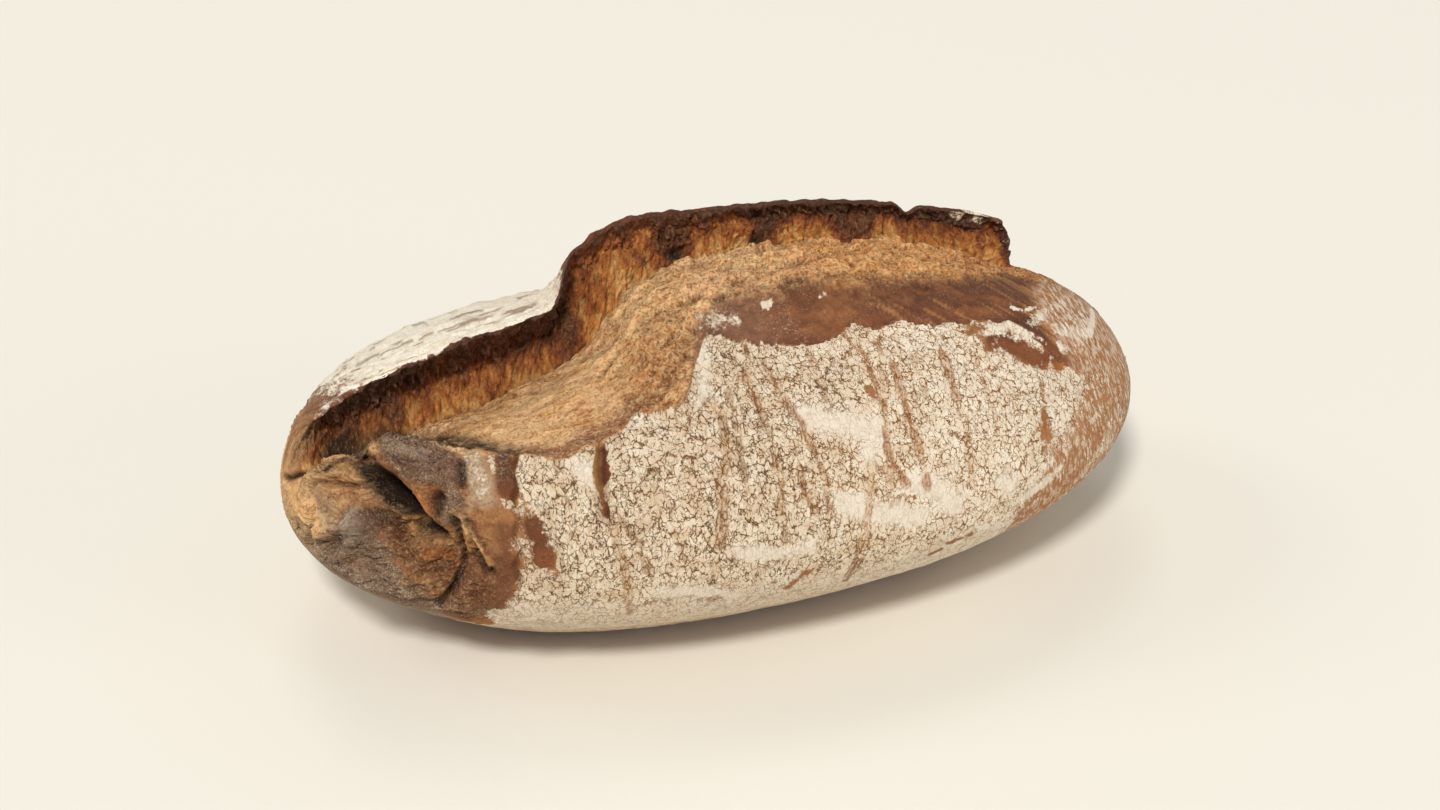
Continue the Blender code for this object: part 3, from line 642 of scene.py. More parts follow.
class Flank:
    """Unrolled flank in mm, on which folds, cracks and patches are laid out."""

    REACH = 30.0

    def __init__(self, x, psi, u, shown):
        self.x = x * 1000
        self.height = psi * 1000 * ARC_PER_DEGREE * envelope(u)[:, None]
        self.rings = self.x[:, 0]
        self.shown = shown
        self.wobble = 1.3 * fbm(self.x / 7, self.height / 7, 0 * x, 5)
        self.fine = 0.6 * fbm(self.x / 2.2, self.height / 2.2, 0 * x, 6)
        self.tiny = noise(self.x / 0.7, self.height / 0.7, 0 * x, 7)

    def distance(self, path, wobble, fine):
        """Distance to a path in mm and the rings it was worked out on."""
        xs = [p[0] for p in path]
        near = slice(*np.searchsorted(self.rings, (min(xs) - self.REACH, max(xs) + self.REACH)))
        local = 1000 * ARC_PER_DEGREE * float(envelope(np.array(float(np.mean(xs)) / (500 * LENGTH))))
        d = path_distance(self.x[near], self.height[near], [(px, ph * local) for px, ph in path])
        return near, d + wobble * self.wobble[near] + fine * (self.fine[near] + 0.25 * self.tiny[near])

    def spot(self, path, width, soft, wobble=0.7, fine=1.0):
        """1 inside the strip around a path, 0 outside it, soft mm wide at its edge."""
        mask = np.zeros_like(self.x)
        near, d = self.distance(path, wobble, fine)
        mask[near] = (1 - ease(width - soft, width + soft, d)) * self.shown[near]
        return mask

    def groove(self, path, width):
        """Rounded profile across a path, 1 on it."""
        mask = np.zeros_like(self.x)
        near, d = self.distance(path, 0.10, 0.3)
        mask[near] = np.exp(-(d / width) ** 2) * self.shown[near]
        return mask


class Form:
    """Ring grid of the loaf. The layout, colours, flour and relief are kept on it as they are made."""

    def __init__(self):
        self.grid, self.psi, u, opened, self.z_slash = base_grid()
        starts = list(np.cumsum([0] + list(COUNTS.values())))
        self.part = {name: slice(starts[i], starts[i + 1]) for i, name in enumerate(COUNTS)}
        soften(self.grid, self.part["shell"].start - 4, self.part["shell"].start + 3, 10)
        soften(self.grid, self.part["bloom"].stop - 14, self.part["bloom"].stop - 2, 14)
        self.normal = grid_normals(self.grid)
        x = self.grid[:, :, 0]
        self.mm = tuple(self.grid[:, :, k] * 1000 for k in range(3))
        self.zero = np.zeros_like(x)
        step = np.linalg.norm(np.roll(self.grid, -1, axis=1) - self.grid, axis=-1)
        s = np.cumsum(step, axis=1) * 1000
        self.s = s - s[:, self.part["face"].start][:, None]
        ring = self.grid[:, self.part["flank"].start + COUNTS["flank"] // 2]
        run = np.concatenate([[0], np.cumsum(np.linalg.norm(np.diff(ring, axis=0), axis=-1))]) * 1000
        self.run = run[:, None] + self.zero
        self.open = opened[:, None] + self.zero
        self.column = np.arange(x.shape[1])[None, :] + self.zero
        front = self.on("flank") + self.on("bloom") * (1 - self.share("bloom") ** 4)
        self.flank = Flank(x, self.psi, u, front)

    def on(self, name):
        cols = self.part[name]
        return ((self.column >= cols.start) & (self.column < cols.stop)) * 1.0

    def share(self, name):
        cols = self.part[name]
        return np.clip((self.column - cols.start) / (cols.stop - cols.start), 0, 1)

    def space(self, a, b, c, seed):
        """Bumps a, b and c mm long in the loaf's own frame."""
        x, y, z = self.mm
        return fbm(x / a, y / b, z / c, seed)

    def skin_bumps(self, a, b, seed):
        """Bumps a mm long and b mm wide on the section as it unrolls."""
        return fbm(self.mm[0] / a, self.s / b, self.zero, seed)

    def side_bumps(self, a, b, seed):
        """Bumps a mm long and b mm high on the flank as it unrolls."""
        return fbm(self.mm[0] / a, self.flank.height / b, self.zero, seed)

    def above_edge(self, knots):
        """How far a point lies above an edge given in degrees, in mm."""
        return (self.psi - curve(knots, self.mm[0])) * ARC_PER_DEGREE * 1000


def tint(name):
    return np.array(linear(*TONES[name])[:3])


def filled(like, name):
    return np.broadcast_to(tint(name), like.shape[:2] + (3,)).copy()


def blend(tone, colour, amount):
    """Tone moved towards a colour, which is a name or a field."""
    if isinstance(colour, str):
        colour = tint(colour)
    return tone + np.clip(amount, 0, 1)[:, :, None] * (colour - tone)


def face_fields(f):
    """Colour and relief of the torn face: golden foot, orange and brown tongues, burnt lip."""
    xm = f.mm[0]
    t = f.share("face")
    tongue = f.skin_bumps(3.8, 8, 31)
    fine = f.skin_bumps(1.2, 3, 32)
    clumps = f.skin_bumps(5.5, 5.5, 34)
    level = 1.18 * t + 0.34 * tongue + 0.46 * fine + 0.26 * clumps
    level += 0.16 * noise(xm / 0.8, f.s / 2.0, f.zero, 36)
    level -= 0.42 * ease(-52, -40, xm) * (1 - ease(4, 26, xm)) * ease(0.35, 0.7, t)
    for low, high, amount in FACE_TONE_SHIFTS:
        stretch = ease(low - 2.5, low + 1.5, xm) * (1 - ease(high - 1.5, high + 2.5, xm))
        level += amount * stretch * (1 - ease(0.45, 0.85, t))
    tone = filled(level, FACE_RAMP[0][1])
    for (low, _), (high, name) in zip(FACE_RAMP[:-1], FACE_RAMP[1:]):
        tone = blend(tone, name, ease(low, high, level))
    holes = np.zeros_like(xm)
    for x0, t0, wide, tall in FACE_HOLES:
        holes = np.maximum(holes, np.exp(-((xm - x0) / wide) ** 2 - ((t - t0) / tall) ** 2))
    holes *= f.on("face")
    tone = blend(tone, "shadow", np.clip(1.5 * holes - 0.2, 0, 1))
    swell = np.sin(np.pi * np.clip(t, 0, 1)) ** 0.5 * f.on("face") * f.open
    shreds = ridged(f.skin_bumps(2.6, 3.6, 33), 5)
    relief = swell * (2.0 * tongue + 1.8 * fine + 2.8 * clumps + 1.2 * shreds) - 3.6 * holes
    return tone, relief, level


def flank_relief(flank):
    relief = np.zeros_like(flank.x)
    for path, height, width in FOLDS:
        gain = LEFT_END_GAIN if max(x for x, _ in path) < LEFT_END_X else 1.0
        relief += gain * height * flank.groove(path, width)
    for path, height, reach in CRESTS:
        near, d = flank.distance(path, 0.45, 0.6)
        relief[near] += height * np.clip(1 - np.abs(d) / reach, 0, 1) ** 1.5 * flank.shown[near]
    return relief


def space_distance(mm, path):
    """Distance in mm to a path of points in space."""
    here = np.stack(mm, -1)
    best = np.full(here.shape[:2], np.inf)
    for first, second in zip(np.array(path[:-1], float), np.array(path[1:], float)):
        run = second - first
        t = np.clip((here - first) @ run / (run @ run), 0, 1)
        best = np.minimum(best, np.linalg.norm(here - first - t[:, :, None] * run, axis=-1))
    return best


def blurred(values, passes):
    """Mean over a few grid steps either way."""
    for _ in range(passes):
        for axis in (0, 1):
            values = 0.5 * values + 0.25 * (np.roll(values, 1, axis) + np.roll(values, -1, axis))
    return values


def streak_fields(flank):
    """Washed strips down the flank and the thin dark lines along them."""
    zero = np.zeros_like(flank.x)
    wash, line = zero.copy(), zero.copy()
    breaks = ease(-0.35, 0.15, fbm(flank.x / 3, flank.height / 5, zero, 61))
    for index, (path, strength, width) in enumerate(STREAKS):
        near, d = flank.distance(path, 0.75, 0.9)
        sway = 0.5 * noise(flank.height[near] / 4, 0 * d, 0 * d, 70 + index)
        worn = strength * (0.45 + 0.55 * breaks[near])
        wash[near] = np.maximum(wash[near], worn * (1 - ease(width * 0.2, width * 1.5, d)))
        for offset in (0.0, 0.75 * width + sway):
            thin = strength * np.exp(-((d - offset) / LINE_HALF_WIDTH) ** 2)
            line[near] = np.maximum(line[near], thin * breaks[near])
    return wash * flank.shown, line * flank.shown


def lay_out(f):
    """Where the floured skin, the brown band, the bloom, the torn face and the shell lie."""
    xm, ym, zm = f.mm
    f.front = np.clip(f.on("flank") + f.on("bloom"), 0, 1)
    f.behind = np.clip(f.on("shell") + f.on("back"), 0, 1)
    f.jag = 1.5 * f.side_bumps(5, 5, 11) + 1.0 * f.side_bumps(1.5, 1.5, 12)
    f.above = f.above_edge(FLOUR_EDGE) + 0.8 * f.jag
    f.above_band = f.above_edge(BAND_EDGE) + 1.3 * f.jag
    f.skin = f.front * (1 - ease(-0.5, 0.5, f.above))
    f.band = f.front * (1 - f.skin) * (1 - ease(-4.2, 3.2, f.above_band)) * ease(-28, -15, xm + f.jag)
    f.bloom = f.front * (1 - f.skin) * (1 - f.band)
    f.fringe = (f.front * ease(0.2, 0.8, f.above) * (1 - ease(4.0, 7.0, f.above + f.flank.wobble))
                * ease(-86, -74, xm) * (1 - ease(-40, -30, xm)))
    f.torn_face = f.on("face") * ease(0.0, 0.25, f.open)
    f.ear = ease(-54, -42, xm)
    lip_edge = f.share("shell") + 0.14 * f.skin_bumps(5, 4, 22) + 0.06 * f.skin_bumps(1.2, 1.2, 24)
    f.burnt_shell = (f.on("shell") * (1 - ease(0.02, 0.14 + 0.60 * f.ear, lip_edge))
                     * f.open * ease(-136, -112, xm))

    # Left end, below and above the crack of the rim
    crack_z = curve([(px, pz) for px, _, pz in RIM_CRACK], xm)
    f.lobe_side = (1 - ease(-1.2, 0.6, zm - crack_z)) * (1 - ease(-144, -138, xm + 2 * f.flank.wobble))
    f.upper_side = ease(-0.6, 1.2, zm - crack_z) * (1 - ease(-143, -131, xm))
    rim_distance = space_distance(f.mm, RIM_CRACK) + 0.5 * f.space(2, 2, 2, 65)
    f.rim_crack = np.exp(-(rim_distance / 1.0) ** 2)
    f.side_lines = (ridged(fbm(xm / 5 + zm / 6, (zm + 1.6 * ym) / 2.2, f.zero, 66), 7)
                    * np.clip(f.lobe_side + f.upper_side, 0, 1))

    # Crease between the bloom and the face at the left, with the painted shade in it, and the flaky part of
    # the shell
    f.deep = ease(-133, -127, xm) * (1 - ease(-111, -102, xm + 0.6 * f.s))
    shallow = ease(-116, -100, xm) * (1 - ease(-62, -46, xm))
    crease = (0.95 * f.deep * (f.on("bloom") + f.on("face") * np.exp(-(f.s / 5.0) ** 2))
              + 0.45 * shallow * np.exp(-(f.s / 2.2) ** 2) * (f.on("bloom") + f.on("face")))
    f.crease = np.clip(crease * (0.85 + 0.5 * f.skin_bumps(3, 3, 53)), 0, 1)
    f.lengthwise = f.skin_bumps(20, 1.7, 46)
    f.shell_left = f.behind * (1 - ease(-66, 10, xm + 30 * f.space(14, 14, 14, 69))) * ease(22, 66, zm)


def paint_tones(f):
    """Colour under the flour, with painted shade in creases, cracks and holes, and how burnt it is."""
    xm, _, zm = f.mm
    tone = filled(xm, "crust")
    crumb = blend(filled(xm, "tan"), "pink tan", ease(-0.35, 0.45, f.space(16, 12, 12, 41)))
    crumb = blend(crumb, "crumb brown", ease(0.12, 0.5, f.space(8, 5, 6, 42)) * 0.75)
    crumb = blend(crumb, "gold", 0.6 * ease(0.0, 0.5, f.space(11, 4, 5, 43)))
    crumb = blend(crumb, "crumb brown", 0.8 * f.flank.spot(((-36, 59), (-28, 65), (-21, 70)), 8.0, 6.0))
    crumb = blend(crumb, "toasted", 0.8 * ease(10, 50, xm))
    crumb = blend(crumb, "orange", 0.7 * ease(78, 112, xm))
    tone = blend(tone, crumb, f.bloom)

    across_band = ease(-2, 10, -f.above_band)
    band = blend(filled(xm, "brown"), "dark brown",
                 ease(-0.2, 0.4, f.space(9, 6, 6, 44) + 0.008 * xm - 0.1 * across_band))
    band = blend(band, "orange", 0.5 * ease(0.1, 0.6, f.space(14, 5, 5, 45)) * ease(10, 40, xm))
    band = blend(band, "purple brown", 0.75 * (1 - ease(2, 26, xm)))
    band = blend(band, "red brown", 0.75 * ((1 - ease(1.5, 6.5, f.above + 1.5 * f.jag)) * ease(10, 34, xm)))
    streaky = ease(0.12, 0.4, fbm((xm + 0.8 * f.s) / 2.6, f.s / 11, f.zero, 68)) * ease(30, 60, xm)
    band = blend(band, "toasted", 0.40 * streaky)
    tone = blend(tone, band, f.band)
    tone = blend(tone, "red brown", 0.75 * f.fringe)
    for name, path, width, soft, strength in PAINT:
        tone = blend(tone, name, strength * f.flank.spot(path, width, soft))

    face_tone, f.face_relief, level = face_fields(f)
    tone = blend(tone, face_tone, f.torn_face)
    shell = blend(filled(xm, "crust"), "dark brown", 0.8 * f.ear * f.on("shell"))
    far_left = 1 - ease(-128, -110, xm + 8 * f.skin_bumps(9, 6, 62))
    shell = blend(shell, "dim tan", far_left * (1 - ease(58, 74, zm)))
    shell = blend(shell, "purple brown", 0.8 * far_left * ease(60, 76, zm))
    mottled = ease(-0.2, 0.4, f.skin_bumps(3, 2, 63))
    shell = blend(shell, blend(filled(xm, "burnt"), "ember", 0.5 * mottled), f.burnt_shell)
    shell = blend(shell, "sienna", 0.9 * ease(104, 120, xm))
    tone = blend(tone, shell, f.behind)
    f.burn = np.clip(f.torn_face * ease(0.92, 1.25, level) + f.burnt_shell, 0, 1)
    f.burn *= 1 - 0.65 * ease(-50, -40, xm) * (1 - ease(0, 16, xm + 6 * f.skin_bumps(6, 6, 64)))

    hem = ease(22, 50, zm)
    tone = blend(tone, "tan", 0.70 * f.lobe_side * hem)
    tone = blend(tone, "dust", 0.7 * f.lobe_side * (1 - hem))
    tone = blend(tone, "dim tan", 0.8 * f.upper_side * (1 - ease(78, 92, zm)))
    tone = blend(tone, "shadow", 0.9 * f.rim_crack)
    tone = blend(tone, "brown", 0.28 * f.side_lines)
    # Painted shade along the crease
    tone = blend(tone, "crease shade", f.crease)
    # Deeper painted shade in the middle of the crease
    f.tone = blend(tone, "cavity shade", 0.85 * f.crease * ease(-0.35, 0.15, f.skin_bumps(5, 2.2, 60)) * f.deep)


def lay_flour(f):
    """Flour, the parts of it that are smooth, washed, dusty or in dashes, and dark lines."""
    xm, _, zm = f.mm
    flank = f.flank
    flour = f.skin.copy()
    mottle = ease(0.0, 0.35, f.side_bumps(3.2, 5, 71)) * ease(60, 78, xm)
    for path, width, soft, amount in FLOUR_CHANGES:
        mask = flank.spot(path, width, soft, 0.8, 1.4)
        if amount < 0:
            flour = flour + abs(amount) * (mask * (1 - 0.45 * mottle)) * (0.0 - flour)
        else:
            flour = flour + amount * mask * (1.0 - flour)
    f.dusty = f.zero.copy()
    for path, width in DUSTY:
        f.dusty = np.maximum(f.dusty, flank.spot(path, width, 1.8, 1.0, 1.6))
    column = flank.spot(((-93.8, 46), (-93.2, 39), (-94.6, 31)), 3.2, 1.8, 1.7, 2.4)
    flour = np.maximum(flour, 0.40 * column * ease(28, 36, f.psi))
    flour = np.maximum(flour, 0.36 * f.dusty)

    tip = np.exp(-((xm - 108) / 9) ** 2) * ease(-0.30, 0.20, f.skin_bumps(3, 3, 23))
    tip *= f.open * np.clip(f.on("shell") + f.on("face") * ease(0.74, 0.90, f.share("face")), 0, 1)
    right_end = ease(106, 122, xm + 5 * flank.wobble)
    shell = 0.95 - 0.85 * f.on("shell") * f.ear * (1 - ease(0.35, 0.95, f.share("shell")))
    shell *= 0.30 + 0.70 * ease(-140, -112, xm + 12 * f.skin_bumps(7, 5, 25))
    shell *= 1 - 0.5 * right_end
    flour = np.where(f.behind > 0, shell * (1 - 0.95 * f.burnt_shell), flour * (1 - f.on("face")))
    flour = np.maximum(flour, tip)
    flour *= 1 - np.clip(0.95 * f.lobe_side + 0.75 * f.upper_side + f.rim_crack, 0, 1)
    f.under = ease(0.026, 0.004, f.grid[:, :, 2])
    f.flour = flour * (1 - 0.55 * f.under)

    f.smooth = f.zero.copy()
    for path, width in SMOOTH:
        f.smooth = np.maximum(f.smooth, 0.85 * flank.spot(path, width, 2.6, 1.8, 2.6))
    f.smooth = np.maximum(f.smooth, 0.6 * (ease(-4, -16, f.psi) * f.on("flank")))
    dash = flank.spot(((126, 74), (130, 52), (124, 28), (110, 12), (96, -8)), 14.0, 5.0)
    dash = np.maximum(dash, flank.spot(((146, 74),) + RIGHT_FOOT[1:], 13.0, 4.0))
    dash = np.maximum(dash, 0.9 * f.behind * right_end)
    f.dash = dash * (1 - 0.85 * ease(0.6, 0.95, f.flour) * (1 - f.behind))

    f.wash, line = streak_fields(flank)
    lines_left = f.shell_left * ease(0.18, 0.32, f.lengthwise)
    f.line = np.maximum(line, 0.8 * lines_left * ease(0.0, 0.3, f.skin_bumps(9, 5, 47) + 0.2))


def raise_relief(f):
    """Height in mm that every grid point gains along its normal."""
    xm, ym, zm = f.mm
    flank = f.flank
    sunk = f.deep * f.on("bloom") * np.sin(np.pi * f.share("bloom"))
    relief = flank_relief(flank) - 3.0 * sunk
    relief += f.face_relief - 2.2 * f.rim_crack - 0.3 * f.side_lines
    relief -= 0.20 * f.line + 0.12 * f.wash

    # Bloomed dough
    lumps = f.space(9, 6, 6, 37)
    plates = ease(-0.03, 0.05, f.skin_bumps(13, 5, 50)) + ease(0.12, 0.20, f.skin_bumps(8, 4, 51))
    ridges, torn = ridged(f.skin_bumps(8, 2.8, 35), 4.5), ridged(f.skin_bumps(6, 3.0, 58), 6)
    crumb = 0.22 * f.space(1.8, 1.2, 1.2, 36) + 0.6 * ridges + 1.5 * lumps + 1.2 * plates - 0.9 * torn
    crumb += 0.7 * f.space(4.5, 3.0, 3.0, 59)
    rag = 0.30 + 0.70 * ease(-52, -14, xm + 4 * lumps)
    crumb = rag * crumb + (1 - rag) * 1.2 * lumps
    relief += ((f.bloom + 0.5 * f.band * lumps) * crumb * np.clip(f.open * 1.2, 0.3, 1)
               * (1 - f.share("bloom") ** 8 * f.on("bloom")))
    for path, height, width in BLOOM_CRACKS:
        relief += height * flank.groove(path, width)

    # Flank, left end and back
    hollow_fibres = flank.spot(((-121, 14), (-112, 15), (-106, 10)), 6.0, 2.0)
    relief += hollow_fibres * 0.8 * f.skin_bumps(6, 1.3, 38)
    relief += (f.on("flank") + f.behind) * (0.28 * f.space(9, 9, 9, 39) + 0.12 * f.space(2.4, 2.4, 2.4, 40))
    f.left_part = f.front * (1 - ease(-104, -86, xm)) * ease(-46, -24, f.psi)
    rough = 1.6 * f.side_bumps(5.2, 4.2, 48) + 0.40 * f.side_bumps(1.4, 1.4, 49)
    creases, wrinkles = ridged(f.side_bumps(7, 4, 52), 7), ridged(f.side_bumps(3.4, 2.2, 61), 6)
    calm = 1 - 0.6 * flank.spot(((-145, 40), (-140, 34), (-133, 34)), 8.0, 4.0)
    relief += f.left_part * (calm * (rough - 1.2 * creases) - 0.55 * wrinkles)
    lip_of_skin = ease(-3.0, -0.3, f.above) * (1 - ease(-0.3, 0.5, f.above))
    relief += f.front * lip_of_skin * (0.35 + 0.5 * ease(-104, -96, xm) * (1 - ease(-30, -16, xm)))
    relief += f.shell_left * (0.6 * f.lengthwise + 0.9 * f.skin_bumps(9, 7, 67))
    flakes = ease(0.0, 0.06, f.skin_bumps(11, 3.2, 54)) + ease(0.14, 0.20, f.skin_bumps(6, 2.4, 55))
    relief += 0.28 * f.shell_left * flakes
    at_lip = (ease(0.66, 0.95, f.share("face")) * f.on("face")
              + (1 - ease(0.1, 0.45, f.share("shell"))) * f.on("shell"))
    relief += at_lip * f.open * (0.8 * f.skin_bumps(4.5, 3.5, 56) + 0.25 * f.skin_bumps(1.4, 1.4, 57))

    # What the crumb's grain covers in the material
    cavern = flank.spot(((-123, 42), (-118, 31), (-113.2, 21.5)), 3.8, 2.0)
    grain = (1 - f.skin) * f.front * np.clip(f.bloom * (0.55 + 0.45 * rag) + hollow_fibres, 0, 1)
    grain = np.clip(grain + f.torn_face * 0.12 + 0.40 * f.left_part, 0, 1)
    f.crumb = grain * (1 - np.maximum(cavern, 0.7 * f.crease))
    return relief * ease(0, 5, zm)


def make_fields():
    """Displaced grid, and what the material reads at each of its points."""
    f = Form()
    lay_out(f)
    paint_tones(f)
    lay_flour(f)
    relief = raise_relief(f)

    # Painted shade in the hollows of the relief and painted highlight on its ridges, where the crust is bare
    bare = (1 - 0.7 * f.skin) * (1 - 0.55 * np.clip(f.bloom + f.torn_face, 0, 1))
    hollow = (np.clip(blurred(relief, 5) - relief, -0.5, 0.8)
              + 0.5 * np.clip(blurred(relief, 24) - relief, -0.8, 1.2))
    relief_shade = (0.75 + 0.20 * f.left_part) * np.clip(hollow * bare, -0.45, 1.0)
    tone = f.tone * (1 - relief_shade)[:, :, None]

    grid = f.grid + f.normal * (relief / 1000)[:, :, None]
    ear_columns = np.zeros(relief.shape[1])
    ear_columns[f.part["face"].start:f.part["shell"].stop] = 1
    lean_tip(grid, f.z_slash, ear_columns)
    low, high = (np.array(corner) - np.array([0, SHIFT_Y, 0]) for corner in CAD_BOX)
    grid = np.clip(grid, low + 0.0001, high - 0.0001)
    fields = {name: getattr(f, name) for name in FIELDS if name not in ("face", "band", "shellside")}
    fields.update(face=f.torn_face, band=np.maximum(f.band, f.fringe), shellside=f.shell_left)
    vectors = {"rest": 1000 * grid, "unroll": np.stack([f.run, f.s, f.zero], -1),
               "flankmap": np.stack([f.run, f.flank.height, f.zero], -1), "tone": tone}
    return grid, fields, vectors


def add_field(mesh, name, values):
    kind, slot = ("FLOAT", "value") if values.ndim == 1 else ("FLOAT_VECTOR", "vector")
    attribute = mesh.attributes.new(name, kind, "POINT")
    attribute.data.foreach_set(slot, values.astype(np.float32).ravel())


def make_piece(name, first, last, grid, normal, fields, vectors):
    """Rings first to last as one mesh, closed by a point where the loaf ends."""
    rings, around, _ = grid.shape
    rows = slice(first, last + 1)
    count = last + 1 - first
    flat = {key: v[rows].reshape(-1) for key, v in fields.items()}
    flat.update({key: v[rows].reshape(-1, 3) for key, v in vectors.items()})
    points, normals = grid[rows].reshape(-1, 3), normal[rows].reshape(-1, 3)
    i, j = np.meshgrid(np.arange(count - 1), np.arange(around), indexing="ij")
    k = (j + 1) % around
    quads = [i * around + j, (i + 1) * around + j, (i + 1) * around + k, i * around + k]
    faces = np.stack(quads, -1).reshape(-1, 4).tolist()
    j = np.arange(around)
    k = (j + 1) % around
    for at_end, ring, side in ((first == 0, 0, -1), (last == rings - 1, count - 1, 1)):
        if not at_end:
            continue
        pole, base = len(points), ring * around
        points = np.concatenate([points, [[side * LENGTH / 2, 0, CORE_HEIGHT]]])
        normals = np.concatenate([normals, [[side, 0, 0]]])
        near = slice(base, base + around)
        flat = {key: np.concatenate([v, v[near].mean(axis=0, keepdims=True)]) for key, v in flat.items()}
        fan = [np.full(around, pole), base + (j if side < 0 else k), base + (k if side < 0 else j)]
        faces += np.stack(fan, -1).tolist()
    mesh = bpy.data.meshes.new(name)
    mesh.from_pydata((points + np.array([0, SHIFT_Y, 0])).tolist(), [], faces)
    for key, values in flat.items():
        add_field(mesh, key, values)
    mesh.polygons.foreach_set("use_smooth", np.ones(len(mesh.polygons), dtype=bool))
    mesh.update()
    mesh.normals_split_custom_set_from_vertices(normals.tolist())
    piece = bpy.data.objects.new(name, mesh)
    bpy.context.scene.collection.objects.link(piece)
    return piece


def make_loaf():
    grid, fields, vectors = make_fields()
    normal = grid_normals(grid)
    cuts = np.linspace(0, len(grid) - 1, PIECES + 1).astype(int)
    material = crust_material()
    for index, (first, last) in enumerate(zip(cuts[:-1], cuts[1:])):
        piece = make_piece(f"loaf_crust_{index + 1}", first, last, grid, normal, fields, vectors)
        piece.data.materials.append(material)
        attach(piece, "root")
        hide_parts("loaf")


def linear(r, g, b):
    """Colour as the eye sees it, 0 to 255, as Blender's linear values."""
    def one(v):
        v /= 255
        return v / 12.92 if v <= 0.04045 else ((v + 0.055) / 1.055) ** 2.4
    return (one(r), one(g), one(b), 1.0)


class Nodes:
    """A material, with short names for the node kinds it uses."""

    def __init__(self, name):
        self.material = bpy.data.materials.new(name)
        self.material.use_nodes = True
        self.tree = self.material.node_tree
        self.tree.nodes.clear()

    def make(self, kind, inputs, output=0, **settings):
        """Add a node, fill its inputs, and give one of its outputs."""
        node = self.tree.nodes.new(kind)
        for key, value in settings.items():
            setattr(node, key, value)
        for key, value in inputs.items():
            if isinstance(value, bpy.types.NodeSocket):
                self.tree.links.new(value, node.inputs[key])
            else:
                node.inputs[key].default_value = value
        return node.outputs[output] if node.outputs else None

    def math(self, operation, a, b=0.0, c=0.0, clamp=False):
        return self.make("ShaderNodeMath", {0: a, 1: b, 2: c}, operation=operation, use_clamp=clamp)

    def mul(self, a, b):
        return self.math("MULTIPLY", a, b)

    def plus(self, a, b):
        return self.math("ADD", a, b)

    def most(self, a, b):
        return self.math("MAXIMUM", a, b)

    def off(self, a, b):
        """How far a lies from b, either way."""
        return self.math("ABSOLUTE", self.math("SUBTRACT", a, b))

    def left(self, a):
        """What a leaves of 1."""
        return self.math("SUBTRACT", 1.0, a, clamp=True)

    def line_through(self, a, gain, offset):
        return self.math("MULTIPLY_ADD", a, gain, offset)

    def step(self, value, low, high, to_low=0.0, to_high=1.0):
        """Eased from to_low, at the value low, to to_high, at the value high."""
        inputs = {"Value": value, "From Min": low, "From Max": high, "To Min": to_low, "To Max": to_high}
        return self.make("ShaderNodeMapRange", inputs, interpolation_type="SMOOTHSTEP")

    def line(self, distance, reach):
        """1 on a cell edge, 0 from reach on."""
        return self.step(distance, 0.0, reach, 1.0, 0.0)

    def mix(self, factor, a, b, blend_type="MIX"):
        """Colours a and b mixed. A plain colour is given as the eye sees it."""
        a, b = (linear(*c) if isinstance(c, tuple) else c for c in (a, b))
        return self.make("ShaderNodeMix", {0: factor, 6: a, 7: b}, 2, data_type="RGBA", blend_type=blend_type)

    def shade(self, factor, a, b):
        return self.mix(factor, a, b, "MULTIPLY")

    def mixed(self, factor, a, b):
        """Numbers a and b mixed."""
        return self.make("ShaderNodeMix", {0: factor, 2: a, 3: b}, data_type="FLOAT")

    def field(self, name, output="Fac"):
        return self.make("ShaderNodeAttribute", {}, output, attribute_name=name)

    def scaled(self, vector, scale):
        return self.make("ShaderNodeVectorMath", {0: vector, 1: scale}, operation="MULTIPLY")

    def moved(self, vector, offset):
        return self.make("ShaderNodeVectorMath", {0: vector, 1: offset}, operation="ADD")

    def noise(self, vector, scale, detail, rough=0.55, output="Fac"):
        inputs = {"Vector": vector, "Scale": scale, "Detail": detail, "Roughness": rough}
        return self.make("ShaderNodeTexNoise", inputs, output)

    def cells(self, vector, scale):
        """Distance to the nearest edge between cells."""
        inputs = {"Vector": vector, "Scale": scale}
        return self.make("ShaderNodeTexVoronoi", inputs, "Distance", feature="DISTANCE_TO_EDGE")

    def warped(self, vector, scale, amount):
        """The vector pushed about by noise."""
        centred = self.moved(self.noise(vector, scale, 2.0, 0.5, "Color"), (-0.5, -0.5, -0.5))
        return self.moved(vector, self.scaled(centred, (amount, amount, amount)))

    def surface(self, inputs):
        self.make("ShaderNodeOutputMaterial", {0: self.make("ShaderNodeBsdfPrincipled", inputs)})
        return self.material


